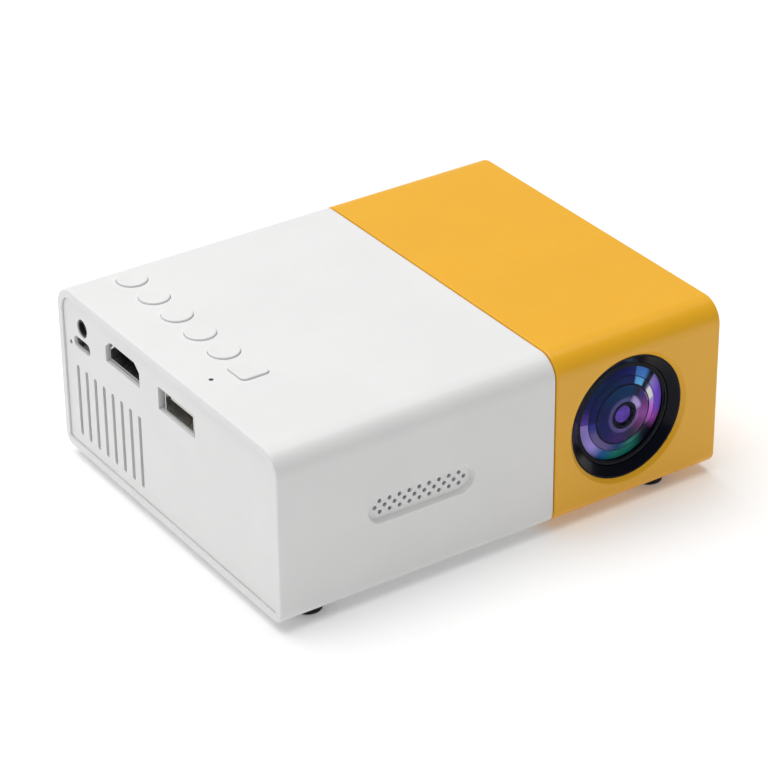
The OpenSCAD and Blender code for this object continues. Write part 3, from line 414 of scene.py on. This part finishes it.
def coating_with_painted_reflections(name, centre, look):
    """Coated lens element whose colour is painted reflections. Round the axis the colour runs through the
    hues of three rings of painted reflections, picked by the angle; the lines between the rings and the
    pupil's rim are black. Radii are in millimetres, and angles in turns from the left, so that half a turn
    is the right."""
    made = Finish(name)
    x, _, z = made.parts_of(made.place)
    x, z = x - centre.x, z - centre.z
    radius = made.maths("SQRT", x * x + z * z) * (1 / MM)
    angle = made.maths("ARCTAN2", z, x) / TURN + 0.5
    names = ("navy", "teal", "violet", "pink", "lavender", "green", "azure", "dark")
    hues = {name: tuple(getattr(look, name)) for name in names}

    def ring(*stops):
        """Painted reflection colours round the axis, each stop being (degrees anticlockwise from the right
        as seen from the front, hue, strength)."""
        laid = sorted((((at + 180) % 360) / 360, shade(hues[hue], k)) for at, hue, k in stops)
        return made.ramp(angle, [(0.0, laid[0][1]), *laid, (1.0, laid[-1][1])])

    # Three rings of painted reflections, outer, step and inner: bright sectors are painted reflected light,
    # dark sectors where nothing is reflected.
    outer = ring(
        (-40, "dark", 1.0), (-34, "pink", 0.25), (-24, "pink", 0.6), (-8, "violet", 1.2),
        (15, "violet", 1.3), (34, "lavender", 0.9), (37, "dark", 2), (43, "dark", 2),
        (45, "azure", 0.35), (50, "azure", 0.9), (66, "azure", 0.8), (68, "navy", 1.3),
        (100, "navy", 0.8), (130, "teal", 0.5), (158, "navy", 0.9), (178, "violet", 0.6),
        (195, "lavender", 0.8), (218, "lavender", 1.1), (240, "teal", 2.2), (262, "green", 1.1),
        (290, "green", 0.9), (308, "dark", 1.5),
    )
    step = ring(
        (-36, "dark", 2), (-28, "pink", 0.7), (-8, "pink", 1.2), (12, "lavender", 1.4),
        (26, "lavender", 1.5), (35, "lavender", 0.6), (38, "dark", 2), (46, "dark", 2),
        (49, "azure", 1.9), (65, "azure", 1.6), (67, "navy", 1.2), (110, "teal", 0.5),
        (160, "navy", 0.9), (186, "navy", 2.4), (205, "lavender", 0.4), (235, "lavender", 0.4),
        (262, "teal", 1.3), (290, "green", 1.3), (312, "dark", 1.5),
    )
    inner = ring(
        (-70, "dark", 3), (-42, "pink", 0.2), (-15, "pink", 0.5), (12, "pink", 0.3),
        (32, "violet", 0.4), (50, "dark", 3), (70, "teal", 0.9), (110, "teal", 0.7),
        (165, "navy", 0.7), (215, "navy", 0.9), (250, "violet", 0.24), (275, "violet", 0.2),
    )
    cloud = made.noise(5 * MM, 2)
    tone = made.mixed(radius.between(look.ring_inner - 0.1, look.ring_inner), inner, step)
    tone = made.mixed(radius.between(look.ring_outer - 0.1, look.ring_outer), tone, outer)
    # Painted reflections: a faint lavender halo 4.1 mm from the axis, a painted glint on the inner ring 34
    # degrees up at the right, and a small white painted highlight 8.6 mm out at 21 degrees.
    painted_halo = radius.near(4.1, 0.3, 0.5)
    tone = made.mixed(painted_halo * 0.22, tone, hues["lavender"])
    painted_glint = radius.near(4.4, 0.4, 0.8) * angle.near(0.5 + 34 / 360, 0.04, 0.05)
    tone = made.mixed(painted_glint * 0.8, tone, shade(hues["lavender"], 1.7))
    painted_flare = radius.near(8.6, 0.75, 0.4) * angle.near(0.5 + 21 / 360, 0.022, 0.014)
    tone = made.mixed(painted_flare, tone, (1, 1, 1))
    lines = radius.near(look.ring_outer, 0.06, 0.06) + radius.near(look.ring_inner, 0.16, 0.08)
    rim = radius.near(look.pupil + 0.6, 0.62, 0.12)
    tone = made.mixed(made.maths("MINIMUM", lines + rim, 1.0), tone, shade(hues["dark"], 0.4))
    # The pupil is painted violet with paler patches: a painted reflection.
    patch = made.noise(2.2 * MM, 1).between(0.35, 0.65)
    pupil = made.mixed(patch, shade(hues["violet"], 0.7), hues["violet"])
    tone = made.mixed(1 - radius.between(look.pupil - 0.15, look.pupil), tone, pupil)
    tone = made.mixed(cloud * 0.25, tone, hues["dark"])
    edge = radius.between(12.55, 12.8)
    tone = made.mixed(edge, tone, hues["dark"])
    # The coating also gives off its own colour as light, so the element glows faintly though it is no lamp:
    # painted light.
    made.set(Base_Color=tone, Roughness=0.12 + cloud * 0.06, Specular_IOR_Level=0.08,
             Emission_Color=tone, Emission_Strength=0.3)
    return made


# ---- what a user would change ----


def colour(name, description, default):
    kind = {"subtype": "COLOR", "size": 3, "min": 0, "max": 1}
    return FloatVectorProperty(name=name, description=description, default=default, **kind)


def number(name, description, default, **more):
    return FloatProperty(name=name, description=description, default=default, **more)


def length(name, description, default, **more):
    return number(name, description, default, unit="LENGTH", subtype="DISTANCE", **more)


def angle(name, description, degrees):
    return number(name, description, math.radians(degrees), subtype="ANGLE")


class ShellLook(bpy.types.PropertyGroup):
    """Colours and surface of the casing."""

    white: colour("White shell", "Colour of the white sleeve, panel and buttons", (0.84, 0.84, 0.835))
    amber: colour("Amber shell", "Colour of the amber sleeve and its panel", (0.89, 0.45, 0.012))
    rough: number("Roughness", "Roughness of both shells", 0.34, subtype="FACTOR", min=0, max=1)
    grain: length("Grain", "Size of the moulded grain", 0.22 * MM, min=0.05 * MM)
    grain_depth: length("Grain depth", "Depth of the moulded grain", 0.006 * MM, min=0)


class CapLook(bpy.types.PropertyGroup):
    """Shape of the button caps and feet."""

    fillet: length("Fillet", "Rounding of a cap's upper rim", 0.28 * MM, min=0.1 * MM)
    dish: length("Dish", "Hollow of a cap's top", 0.12 * MM, min=0)
    flange: length("Flange", "How far a cap's flange reaches out below the casing", 0.6 * MM, min=0)
    foot_radius: length("Foot radius", "Radius of a rubber foot", 3.6 * MM, min=2 * MM)
    ridge: length("Foot ridge", "Height of the ridges under a foot", 0.14 * MM, min=0)


class LensLook(bpy.types.PropertyGroup):
    """Shape of the lens, and the colours of its coating, which paint its reflections. Its three radii are
    plain millimetres, as its finish uses them."""

    bulge: length("Bulge", "How far the front glass bulges", 2.2 * MM, min=0.5 * MM)
    wall: length("Front glass", "Thickness of the front glass", 0.5 * MM, min=0.3 * MM)
    ring_outer: number("Outer ring", "Radius of the outer dark ring", 9.9)
    ring_inner: number("Inner ring", "Radius of the inner dark ring", 7.9)
    pupil: number("Pupil", "Radius of the pupil", 2.3)
    # The hues below are painted reflections, named by where they lie round the lens; dark fills the gaps
    # between them and draws the dark lines.
    navy: colour("Navy", "Coating at the upper left", (0.010, 0.014, 0.12))
    teal: colour("Teal", "Coating at the top", (0.004, 0.045, 0.15))
    violet: colour("Violet", "Coating at the right", (0.17, 0.08, 0.62))
    pink: colour("Pink", "Coating below the right", (0.60, 0.14, 0.75))
    lavender: colour("Lavender", "Coating at the lower left", (0.38, 0.30, 0.80))
    green: colour("Green", "Coating at the bottom", (0.01, 0.17, 0.13))
    azure: colour("Azure", "Coating at the upper right", (0.08, 0.30, 0.90))
    dark: colour("Dark", "Gaps in the coating", (0.004, 0.006, 0.014))


class SocketLook(bpy.types.PropertyGroup):
    """Contacts of the sockets."""

    gold: colour("Contacts", "Colour of the plated contacts", (0.83, 0.61, 0.25))
    usb_strip: length("USB strip", "Width of a USB contact", 1.1 * MM, min=0.5 * MM)
    hdmi_strip: length("HDMI strip", "Width of an HDMI contact", 0.42 * MM, min=0.2 * MM)
    strip_height: length("Strip height", "Height of a contact above its tongue", 0.1 * MM, min=0.04 * MM)


class FanLook(bpy.types.PropertyGroup):
    """Shape of the fan's impeller."""

    blades: IntProperty(name="Blades", description="Blades of the impeller", min=5, max=11, default=7)
    hub: length("Hub radius", "Radius of the hub", 6.5 * MM, min=4 * MM)
    chord: length("Blade half chord", "Half the width of a blade", 3.9 * MM, min=2 * MM)
    pitch_hub: angle("Pitch at the hub", "Blade angle at the hub", 42)
    pitch_tip: angle("Pitch at the tip", "Blade angle at the tip", 58)


class StageLook(bpy.types.PropertyGroup):
    """Camera, floor and light."""

    azimuth: angle("Azimuth", "Camera's angle round the object", -33.52)
    elevation: angle("Elevation", "Camera's height above the horizon", 29.96)
    roll: angle("Roll", "Camera's tilt", -0.62)
    distance: length("Distance", "Camera to the middle of the casing", 754.43 * MM)
    lens: number("Focal length", "Camera's focal length in millimetres", 144.23)
    floor: colour("Floor", "Colour of the floor", (0.97, 0.97, 0.97))
    glow: number("Floor glow", "Light that the backlit floor gives off", 0.16, min=0)
    sky: number("Room light", "Strength of the even light of the room", 0.2, min=0)
    key: number("Top light", "Watts of the soft light overhead", 18.6, min=0)
    side: number("Side light", "Watts of the soft light at the socket end", 0.05, min=0)


# ---- pieces ----


def finish_table(shells):
    """Every slot's material, by name."""
    white, amber = tuple(shells.white), tuple(shells.amber)
    case = {"rough": shells.rough, "grain": shells.grain, "depth": shells.grain_depth, "tint": 0.012}
    cap = {**case, "rough": shells.rough - 0.04}
    matt = {"grain": 0.12 * MM, "depth": 0.02 * MM}
    wire = {"rough": 0.38, "grain": 0.15 * MM, "depth": 0.004 * MM}
    finishes = [
        moulded("white_shell", white, **case),
        moulded("amber_shell", amber, **case),
        moulded("button_white", shade(white, 1.01), **cap),
        moulded("black_plastic", (0.018, 0.018, 0.020), 0.5, **matt),
        moulded("black_gloss", (0.002, 0.003, 0.008), 0.16, 0.3 * MM, 0.002 * MM, specular=0.12),
        moulded("grey_plastic", (0.085, 0.09, 0.095), 0.55, **matt, fleck=(0.16, 0.16, 0.17)),
        moulded("rubber", (0.014, 0.014, 0.015), 0.72, 0.1 * MM, 0.03 * MM, 0.15, 0.3),
        metal("steel", (0.58, 0.59, 0.60), 0.34, (1, 6, 1), spots=0.3),
        metal("tin_plate", (0.66, 0.67, 0.68), 0.28, (0.2, 4, 4)),
        metal("brass", (0.78, 0.57, 0.24), 0.3, (1, 1, 8), spots=0.2),
        board("board_green", (0.012, 0.12, 0.05), (0.04, 0.26, 0.10), (0.72, 0.71, 0.66)),
        moulded("chip_black", (0.02, 0.02, 0.022), 0.6, 0.08 * MM, 0.015 * MM, fleck=(0.05, 0.05, 0.05)),
        metal("capacitor_can", (0.60, 0.62, 0.66), 0.36, (1, 1, 5)),
        moulded("ivory_plastic", (0.74, 0.72, 0.64), 0.42, **matt),
        moulded("clear_plastic", (0.05, 0.052, 0.056), 0.25, 0.1 * MM, 0.02 * MM),
        glass("coated_glass", (0.10, 0.08, 0.30), 0.35),
        glass("clear_glass", (0.78, 0.86, 0.88), 0.3),
        moulded("lcd_glass", (0.02, 0.025, 0.05), 0.12, 0.06 * MM, 0.004 * MM),
        metal("reflector", (0.86, 0.87, 0.88), 0.1, (1, 1, 1), tint=0.03),
        metal("aluminium", (0.70, 0.71, 0.72), 0.42, (3, 0.3, 3), spots=0.15),
        moulded("led_white", (0.82, 0.82, 0.79), 0.4, 0.1 * MM, 0.01 * MM),
        moulded("phosphor", (0.88, 0.66, 0.07), 0.5, 0.05 * MM, 0.02 * MM, fleck=(0.95, 0.8, 0.2)),
        moulded("ferrite", (0.09, 0.09, 0.10), 0.45, 0.15 * MM, 0.02 * MM, fleck=(0.2, 0.2, 0.21)),
        moulded("cone_paper", (0.025, 0.025, 0.026), 0.85, 0.2 * MM, 0.05 * MM, fleck=(0.08, 0.08, 0.08)),
        woven("cloth", (0.035, 0.035, 0.038), 0.5 * MM),
        striped("flex_amber", (0.60, 0.27, 0.05), (0.42, 0.16, 0.03), 0.5 * MM),
        moulded("wire_red", (0.50, 0.02, 0.02), **wire),
        moulded("wire_black", (0.02, 0.02, 0.022), **wire),
    ]
    return {made.material.name: made.material for made in finishes}


def finish_of(slot):
    return bpy.data.materials[slot]


class PROJECTOR_OT_finishes(bpy.types.Operator):
    """Make every finish and lay it on the CAD nodes that keep their own shape"""

    bl_idname = "projector.finishes"
    bl_label = "Finishes"

    def execute(self, context):
        for material in list(bpy.data.materials):
            bpy.data.materials.remove(material)
        made = finish_table(context.scene.projector_shell)
        for node, thing in frame["nodes"].items():
            thing.data.materials.clear()
            thing.data.materials.append(made[SLOT_OF[node]])
        return {"FINISHED"}


class PROJECTOR_OT_caps(bpy.types.Operator):
    """Build the six button caps: rows of one rounded outline, from the flange up over the
    filleted rim and in to the middle of the dished top"""

    bl_idname = "projector.caps"
    bl_label = "Button caps"

    def execute(self, context):
        look = context.scene.projector_cap
        flange_thick, power_corner, steps = 0.75 * MM, 1.6 * MM, 13
        bend = np.linspace(0, math.pi / 2, 7)
        fall, sink = look.fillet * (1 - np.cos(bend)), look.fillet * (1 - np.sin(bend))
        share = np.linspace(1, 0, 9)[1:]
        for name in BUTTONS:
            node = name + "_button"
            low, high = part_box(node)
            centre, half = middle(node), (high.x - low.x) / 2 - look.flange
            corner = power_corner if name == "power" else half
            seat = low.z + flange_thick
            side = [(look.flange, low.z), (look.flange, seat), (0.0, seat), *zip(-fall, high.z - sink)]
            rows = [(half + grown, corner + grown, z) for grown, z in side]
            half, corner = half - look.fillet, corner - look.fillet
            rows += [(half * s, corner * s, high.z - look.dish * (1 - s * s)) for s in share]
            grid = [
                np.column_stack([rounded(h, h, r, steps), np.full(4 * steps, z)]) + (centre.x, centre.y, 0)
                for h, r, z in rows
            ]
            skins = [shell(np.array(grid))]
            piece(name + "_cap", skins, finish_of("button_white"), node, [node], 35)
        return {"FINISHED"}


class PROJECTOR_OT_feet(bpy.types.Operator):
    """Build the four feet: a turned profile with ridges under it and the screw's pocket above"""

    bl_idname = "projector.feet"
    bl_label = "Feet"

    def execute(self, context):
        look = context.scene.projector_cap
        low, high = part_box("rubber_feet")
        r, soft, pocket, web, ridges = look.foot_radius, 0.5 * MM, 2.4 * MM, 1.7 * MM, 3
        inner = np.linspace(0, r - soft, 33)
        under = look.ridge * (0.5 - 0.5 * np.cos(inner / (r - soft) * TURN * ridges))
        bend = np.linspace(0, math.pi / 2, 7)
        profile = [
            *zip(inner, low.z + under),
            *zip(r - soft + soft * np.sin(bend), low.z + soft - soft * np.cos(bend)),
            (r, high.z), (pocket, high.z), (pocket, low.z + web), (0, low.z + web),
        ]
        places = [(x, y, 0) for x in (low.x + r, high.x - r) for y in (low.y + r, high.y - r)]
        feet = [turned(profile, place, "z", 48) for place in places]
        piece("feet", feet, finish_of("rubber"), "casing", ["rubber_feet"])
        return {"FINISHED"}


class PROJECTOR_OT_lens(bpy.types.Operator):
    """Build the lens: a domed front glass, the coated element behind it with its steps and
    pupil, and the ribbed retaining ring"""

    bl_idname = "projector.lens"
    bl_label = "Lens"

    def execute(self, context):
        look = context.scene.projector_lens
        low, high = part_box("front_lens")
        axis = middle("lens_barrel")
        centre = (axis.x, 0, axis.z)
        edge_play, back_play, gap, inset = 0.04 * MM, 0.05 * MM, 0.08 * MM, 0.1 * MM
        ridge_high, cup_deep, cup_dome = 0.10 * MM, 0.9 * MM, 0.25 * MM
        edge = (high.x - low.x) / 2 - edge_play
        ball = (edge**2 + look.bulge**2) / (2 * look.bulge)

        def dome(r):
            """Height of the front face: the apex plus the sag ball - sqrt(ball^2 - r^2)."""
            return low.y + ball - np.sqrt(ball**2 - r**2)

        r = np.linspace(0, edge, 40)
        front = [*zip(r, dome(r)), *zip(r[::-1], dome(r[::-1]) + look.wall)]
        clear = glass("front_glass", (0.02, 0.02, 0.06), 0.08, 0.02)
        clear.set(Specular_IOR_Level=0.1, Coat_Weight=0.12, Coat_Roughness=0.02)
        skins = [turned(front, centre)]
        piece("front_glass", skins, clear.material, "lens_barrel", ["front_lens"])

        r = np.linspace(0, edge - inset, 260)
        mm = r / MM
        ridge = sum(np.exp(-(((mm - at) / 0.13) ** 2)) for at in (look.ring_outer, look.ring_inner))
        cup = 1 / (1 + np.exp((mm - look.pupil - 0.35) / 0.06))
        face = dome(r) + look.wall + gap
        face = face + ridge_high * ridge + cup_deep * cup - cup_dome * cup * (1 - (mm / 3) ** 2)
        back = high.y - back_play
        element = [*zip(r, face), (edge - inset, back), (0, back)]
        # The coated element's colour is painted reflections, and it glows faintly.
        coating = coating_with_painted_reflections("lens_coating", axis, look).material
        skins = [turned(element, centre)]
        piece("coated_element", skins, coating, "lens_barrel", ["front_lens"])

        low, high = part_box("lens_retainer")
        outer, land, bevel = (high.x - low.x) / 2, 0.3 * MM, 0.08 * MM
        deep, lean, rib, notch = 0.34 * MM, 0.17 * MM, 0.03 * MM, 0.2 * MM
        height = np.linspace(low.y, low.y + deep, 13)
        slope = outer - land - lean * (height - low.y) / (height[-1] - low.y)
        ribs = rib * (np.arange(13) % 2)
        rim = [(outer, high.y), (outer, low.y + bevel), (outer - bevel, low.y)]

        def notched(angle, radius, height):
            """Two spanner slots: the front edge drops where the angle's cosine nears 1 or -1."""
            slot = np.clip((np.abs(np.cos(angle)) - 0.985) / 0.004, 0, 1)
            near_front = height < low.y + 0.1 * MM
            return radius, np.where(near_front, height + slot * notch, height)

        skins = [turned_ring([*rim, *zip(slope + ribs, height)], centre, notched)]
        gloss = finish_of("black_gloss")
        piece("retainer_ring", skins, gloss, "lens_barrel", ["lens_retainer"])
        return {"FINISHED"}


class PROJECTOR_OT_sockets(bpy.types.Operator):
    """Build the sockets' contacts: small rounded strips carried along their tongues"""

    bl_idname = "projector.sockets"
    bl_label = "Socket contacts"

    def execute(self, context):
        look = context.scene.projector_socket
        metal("gold_plate", tuple(look.gold), 0.24, (0.3, 3, 3))
        high = look.strip_height

        def strip(node, start, end, across, z, width, side):
            """A strip on a tongue's face at height z, above it (side 1) or below it (side -1).
            It runs from start to end behind the node's front, across from the node's middle, all
            three in millimetres, and its front end dips towards the tongue."""
            front, y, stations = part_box(node)[0].x, middle(node).y + across * MM, 9
            x0 = front + start * MM
            x = np.linspace(x0, front + end * MM, stations)
            dip = 0.6 * high * np.exp(-(((x - x0) / (0.6 * MM)) ** 2))
            path = np.column_stack([x, np.full(stations, y), z + side * (high / 2 - dip)])
            return swept(rounded(width / 2, high / 2, 0.45 * high, 3), path, (0, 0, 1))

        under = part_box("usb_insert")[1].z - 2.2 * MM
        strips = [strip("usb_insert", 0.5, 8.5, k * 2.3, under, look.usb_strip, -1)
                  for k in (-1.5, -0.5, 0.5, 1.5)]
        piece("usb_contacts", strips, finish_of("gold_plate"), "casing")

        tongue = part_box("hdmi_shell")[0].z + 2.45 * MM
        strips = [strip("hdmi_insert", 0.4, 7, k - (n - 1) / 2, tongue + z * MM, look.hdmi_strip, side)
                  for n, z, side in ((10, 1.0, 1), (9, -0.1, -1)) for k in range(n)]
        piece("hdmi_contacts", strips, finish_of("gold_plate"), "casing")

        tongue = middle("power_inlet").z
        strips = [strip("power_inlet", 1.8, 4.8, k * 0.8, tongue + side * 0.3 * MM, 0.4 * MM, side)
                  for side in (-1, 1) for k in (-2, -1, 0, 1, 2)]
        piece("inlet_contacts", strips, finish_of("gold_plate"), "casing")

        mouth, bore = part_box("av_jack")[0].x / MM, 1.8
        place = next(m for m in frame["record"]["mounts"] if m["name"] == "av_jack")["pos_m"]
        profile = [(bore - 0.02, mouth + 1.2), (bore - 0.02, mouth + 3.6), (bore - 0.1, mouth + 3.6),
                   (bore - 0.22, mouth + 2.4), (bore - 0.1, mouth + 1.2)]
        spring = turned_ring(np.array(profile) * MM, (0, place[1], place[2]), axis="x", sides=64)
        piece("jack_spring", [spring], finish_of("tin_plate"), "casing")
        return {"FINISHED"}


class PROJECTOR_OT_fan(bpy.types.Operator):
    """Build the impeller: a turned hub, and blades whose section is a thin ellipse that turns
    from the pitch at the hub to the pitch at the tip"""

    bl_idname = "projector.fan"
    bl_label = "Fan"

    def execute(self, context):
        look = context.scene.projector_fan
        low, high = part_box("fan_rotor")
        centre = middle("fan_rotor")
        tip = (high.y - low.y) / 2
        shaft, shaft_r, bevel, soft = 1.8 * MM, 1 * MM, 0.15 * MM, 0.8 * MM
        hub, x0, x1 = look.hub, low.x, high.x - shaft
        bend = np.linspace(0, math.pi / 2, 6)
        profile = [
            (0, x0 + bevel), (hub * 0.55, x0 + bevel), (hub * 0.6, x0),
            *zip(hub - soft + soft * np.sin(bend), x0 + soft - soft * np.cos(bend)),
            (hub, x1), (shaft_r, x1), (shaft_r, high.x - bevel), (shaft_r - bevel, high.x), (0, high.x),
        ]
        shells = [turned(profile, (0, centre.y, centre.z), "x", 64)]
        out = np.linspace(hub - 0.3 * MM, tip, 12)[:, None]
        share = (out - out[0]) / (out[-1] - out[0])
        round_angle = np.linspace(0, TURN, 20, endpoint=False)[None, :]
        chord = look.chord * (0.92 + 0.16 * share) * np.cos(round_angle)
        camber = 0.6 * MM * (1 - (chord / look.chord) ** 2)
        thick = (0.42 - 0.14 * share) * MM * np.sin(round_angle) + camber
        pitch = look.pitch_hub + (look.pitch_tip - look.pitch_hub) * share
        axial = chord * np.cos(pitch) - thick * np.sin(pitch)
        along = chord * np.sin(pitch) + thick * np.cos(pitch)
        half = (x1 - x0) / 2 - 0.4 * MM
        axial = np.clip(axial, -half, half) + (x0 + x1) / 2
        for k in range(look.blades):
            angle = TURN * k / look.blades + along / out + 0.18 * share
            grid = np.stack([axial, out * np.cos(angle), out * np.sin(angle)], -1) + (0, centre.y, centre.z)
            shells.append(shell(grid))
        piece("impeller", shells, finish_of("black_plastic"), "fan_rotor", ["fan_rotor"])
        return {"FINISHED"}


class PROJECTOR_OT_speaker(bpy.types.Operator):
    """Build the speaker's cone: a turned sheet with a rolled surround and a dust cap"""

    bl_idname = "projector.speaker"
    bl_label = "Speaker cone"

    def execute(self, context):
        low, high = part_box("speaker_cone")
        centre = middle("speaker_cone")
        outer = (high.x - low.x) / 2
        surround, cap_r, cap_high, roll_high, sheet = 2.4 * MM, 4 * MM, 1.1 * MM, 0.35 * MM, 0.25 * MM
        r = np.linspace(0, outer, 90)
        flat = outer - surround
        deep = high.y - low.y - 0.5 * MM
        cone = deep * np.clip((flat - r) / (flat - cap_r), 0, 1)
        cap = np.where(r < cap_r, -cap_high * (1 - (r / cap_r) ** 2), 0)
        roll = np.where(r > flat, -roll_high * np.sin((r - flat) / (outer - flat) * math.pi), 0)
        ripple = 0.05 * MM * np.sin(r / (0.7 * MM)) * (r > 4.5 * MM) * (r < flat)
        face = low.y + 0.4 * MM + cone + cap + roll + ripple
        face = np.clip(face, low.y, high.y - 0.2 * MM)
        profile = [*zip(r, face), *zip(r[::-1], np.minimum(face[::-1] + sheet, high.y))]
        skins = [turned(profile, (centre.x, 0, centre.z), sides=96)]
        piece("cone", skins, finish_of("cone_paper"), "casing", ["speaker_cone"])
        return {"FINISHED"}


class PROJECTOR_OT_wires(bpy.types.Operator):
    """Build the inner wires: a round outline carried along one cubic curve from plug to plug"""

    bl_idname = "projector.wires"
    bl_label = "Wires"

    def execute(self, context):
        # in millimetres: where a pair starts, the step to its second wire, the way it leaves,
        # its plug, and the way it arrives there
        routes = {
            "fan_wires": (
                "wire_red",
                (-49.6, 18.45, 28.9), (0, -1.5, 0), (12, 0, 0), (-37.1, -26.9, 33.7), (0, 14, 0),
            ),
            "speaker_wires": (
                "wire_black",
                (-24, -38.4, 27.5), (1.5, 0, 0), (0, 3, 0), (-37.1, -29.5, 31.6), (0, 0, -7),
            ),
        }
        wire_r, plug_step, askew = 0.47 * MM, (1.5, 0, 0), (0.8, 0.5, 0.33)
        angle = np.linspace(0, TURN, 14, endpoint=False)
        outline = wire_r * np.column_stack([np.cos(angle), np.sin(angle)])
        for node, (slot, *route) in routes.items():
            start, step, leave, plug, arrive = (np.array(place, float) for place in route)
            shells = []
            for k in (0, 1):
                a = (start + k * step) * MM
                d = (plug + k * np.array(plug_step)) * MM
                line = bezier(a, a + leave * MM, d + arrive * MM, d, 48)
                shells.append(swept(outline, line, askew))
            piece(node.replace("wires", "leads"), shells, finish_of(slot), "casing", [node])
        return {"FINISHED"}


# ---- stage ----


class PROJECTOR_OT_stage(bpy.types.Operator):
    """Set up the camera, the floor that sweeps up behind, and the soft lights"""

    bl_idname = "projector.stage"
    bl_label = "Stage"

    def execute(self, context):
        look, scene = context.scene.projector_stage, context.scene
        a, e = look.azimuth, look.elevation
        back = Vector((math.sin(a) * math.cos(e), -math.cos(a) * math.cos(e), math.sin(e)))
        right = (-back).cross(Vector((0, 0, 1))).normalized()
        up = right.cross(-back)
        side = right * math.cos(look.roll) + up * math.sin(look.roll)
        rise = up * math.cos(look.roll) - right * math.sin(look.roll)
        low, high = cad_box
        casing_low, casing_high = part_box("white_sleeve")
        aim = Vector(((low.x + high.x) / 2, (low.y + high.y) / 2, (casing_low.z + casing_high.z) / 2))
        data = bpy.data.cameras.new("camera")
        data.sensor_width, data.lens = 36, look.lens
        data.clip_start, data.clip_end = 0.05, 20
        camera = bpy.data.objects.new("camera", data)
        scene.collection.objects.link(camera)
        off_side, off_rise = -0.64 * MM, -2.7 * MM
        place = aim + back * look.distance + side * off_side + rise * off_rise
        turn = Matrix((side, rise, back)).transposed()
        camera.matrix_world = Matrix.Translation(place) @ turn.to_4x4()
        scene.camera = camera

        # the floor in metres: flat, then a quarter circle of radius 1, then upright
        bend = np.linspace(0, math.pi / 2, 16)
        run = np.concatenate([[-4, -2, -1, 0, 1], 1.6 + np.sin(bend), [2.6, 2.6]])
        lift = np.concatenate([np.zeros(5), 1 - np.cos(bend), [2, 3.5]])
        across = np.linspace(-4, 4, 9)
        grid = np.stack(np.broadcast_arrays(across[None, :], run[:, None], lift[:, None]), -1)
        rows, cols = grid.shape[:2]
        faces = [[i * cols + j, i * cols + j + 1, (i + 1) * cols + j + 1, (i + 1) * cols + j]
                 for i in range(rows - 1) for j in range(cols - 1)]
        mesh = bpy.data.meshes.new("floor")
        mesh.from_pydata(grid.reshape(-1, 3).tolist(), [], faces)
        mesh.polygons.foreach_set("use_smooth", np.ones(len(faces), bool))
        floor_finish = Finish("floor")
        paper = floor_finish.noise(60 * MM, 2)
        tone = floor_finish.mixed(paper, shade(look.floor, 0.99), shade(look.floor, 1.0))
        floor_finish.set(Base_Color=tone, Roughness=0.9, Specular_IOR_Level=0.1,
                         Emission_Color=tone, Emission_Strength=look.glow)
        mesh.materials.append(floor_finish.material)
        floor = bpy.data.objects.new("floor", mesh)
        scene.collection.objects.link(floor)

        def softbox(name, place, target, size, watts):
            light = bpy.data.lights.new(name, "AREA")
            light.shape, light.size, light.size_y, light.energy = "RECTANGLE", size[0], size[1], watts
            thing = bpy.data.objects.new(name, light)
            scene.collection.objects.link(thing)
            place = Vector(place)
            thing.location = place
            thing.rotation_mode = "QUATERNION"
            thing.rotation_quaternion = (Vector(target) - place).to_track_quat("-Z", "Y")

        softbox("top_softbox", (-0.15, 0.2, 1.25), (0, 0, 0), (1.5, 1.5), look.key)
        softbox("side_softbox", (-1.3, -0.2, 0.6), (0, 0, 0.02), (0.9, 0.9), look.side)
        world = bpy.data.worlds.new("room")
        scene.world = world
        world.use_nodes = True
        room = world.node_tree.nodes["Background"]
        room.inputs["Color"].default_value = (1, 1, 1, 1)
        room.inputs["Strength"].default_value = look.sky
        scene.view_settings.view_transform = "Standard"
        return {"FINISHED"}


class PROJECTOR_PT_panel(bpy.types.Panel):
    """The projector's pieces and what can be changed about them"""

    bl_idname = "PROJECTOR_PT_panel"
    bl_label = "Projector"
    bl_space_type = "VIEW_3D"
    bl_region_type = "UI"
    bl_category = "Projector"

    def draw(self, context):
        for look in LOOKS:
            box = self.layout.box()
            settings = getattr(context.scene, look)
            for name in settings.__annotations__:
                box.prop(settings, name)
        for operator in OPERATORS:
            self.layout.operator(operator.bl_idname)


LOOKS = {
    "projector_shell": ShellLook,
    "projector_cap": CapLook,
    "projector_lens": LensLook,
    "projector_socket": SocketLook,
    "projector_fan": FanLook,
    "projector_stage": StageLook,
}
OPERATORS = (
    PROJECTOR_OT_finishes,
    PROJECTOR_OT_caps,
    PROJECTOR_OT_feet,
    PROJECTOR_OT_lens,
    PROJECTOR_OT_sockets,
    PROJECTOR_OT_fan,
    PROJECTOR_OT_speaker,
    PROJECTOR_OT_wires,
    PROJECTOR_OT_stage,
)


def register():
    for kind in (*LOOKS.values(), *OPERATORS, PROJECTOR_PT_panel):
        bpy.utils.register_class(kind)
    for name, kind in LOOKS.items():
        setattr(bpy.types.Scene, name, PointerProperty(type=kind))


def unregister():
    for name in LOOKS:
        delattr(bpy.types.Scene, name)
    for kind in reversed((*LOOKS.values(), *OPERATORS, PROJECTOR_PT_panel)):
        bpy.utils.unregister_class(kind)


def main():
    register()
    for operator in OPERATORS:
        group, name = operator.bl_idname.split(".")
        getattr(getattr(bpy.ops, group), name)()


if __name__ == "__main__":
    main()
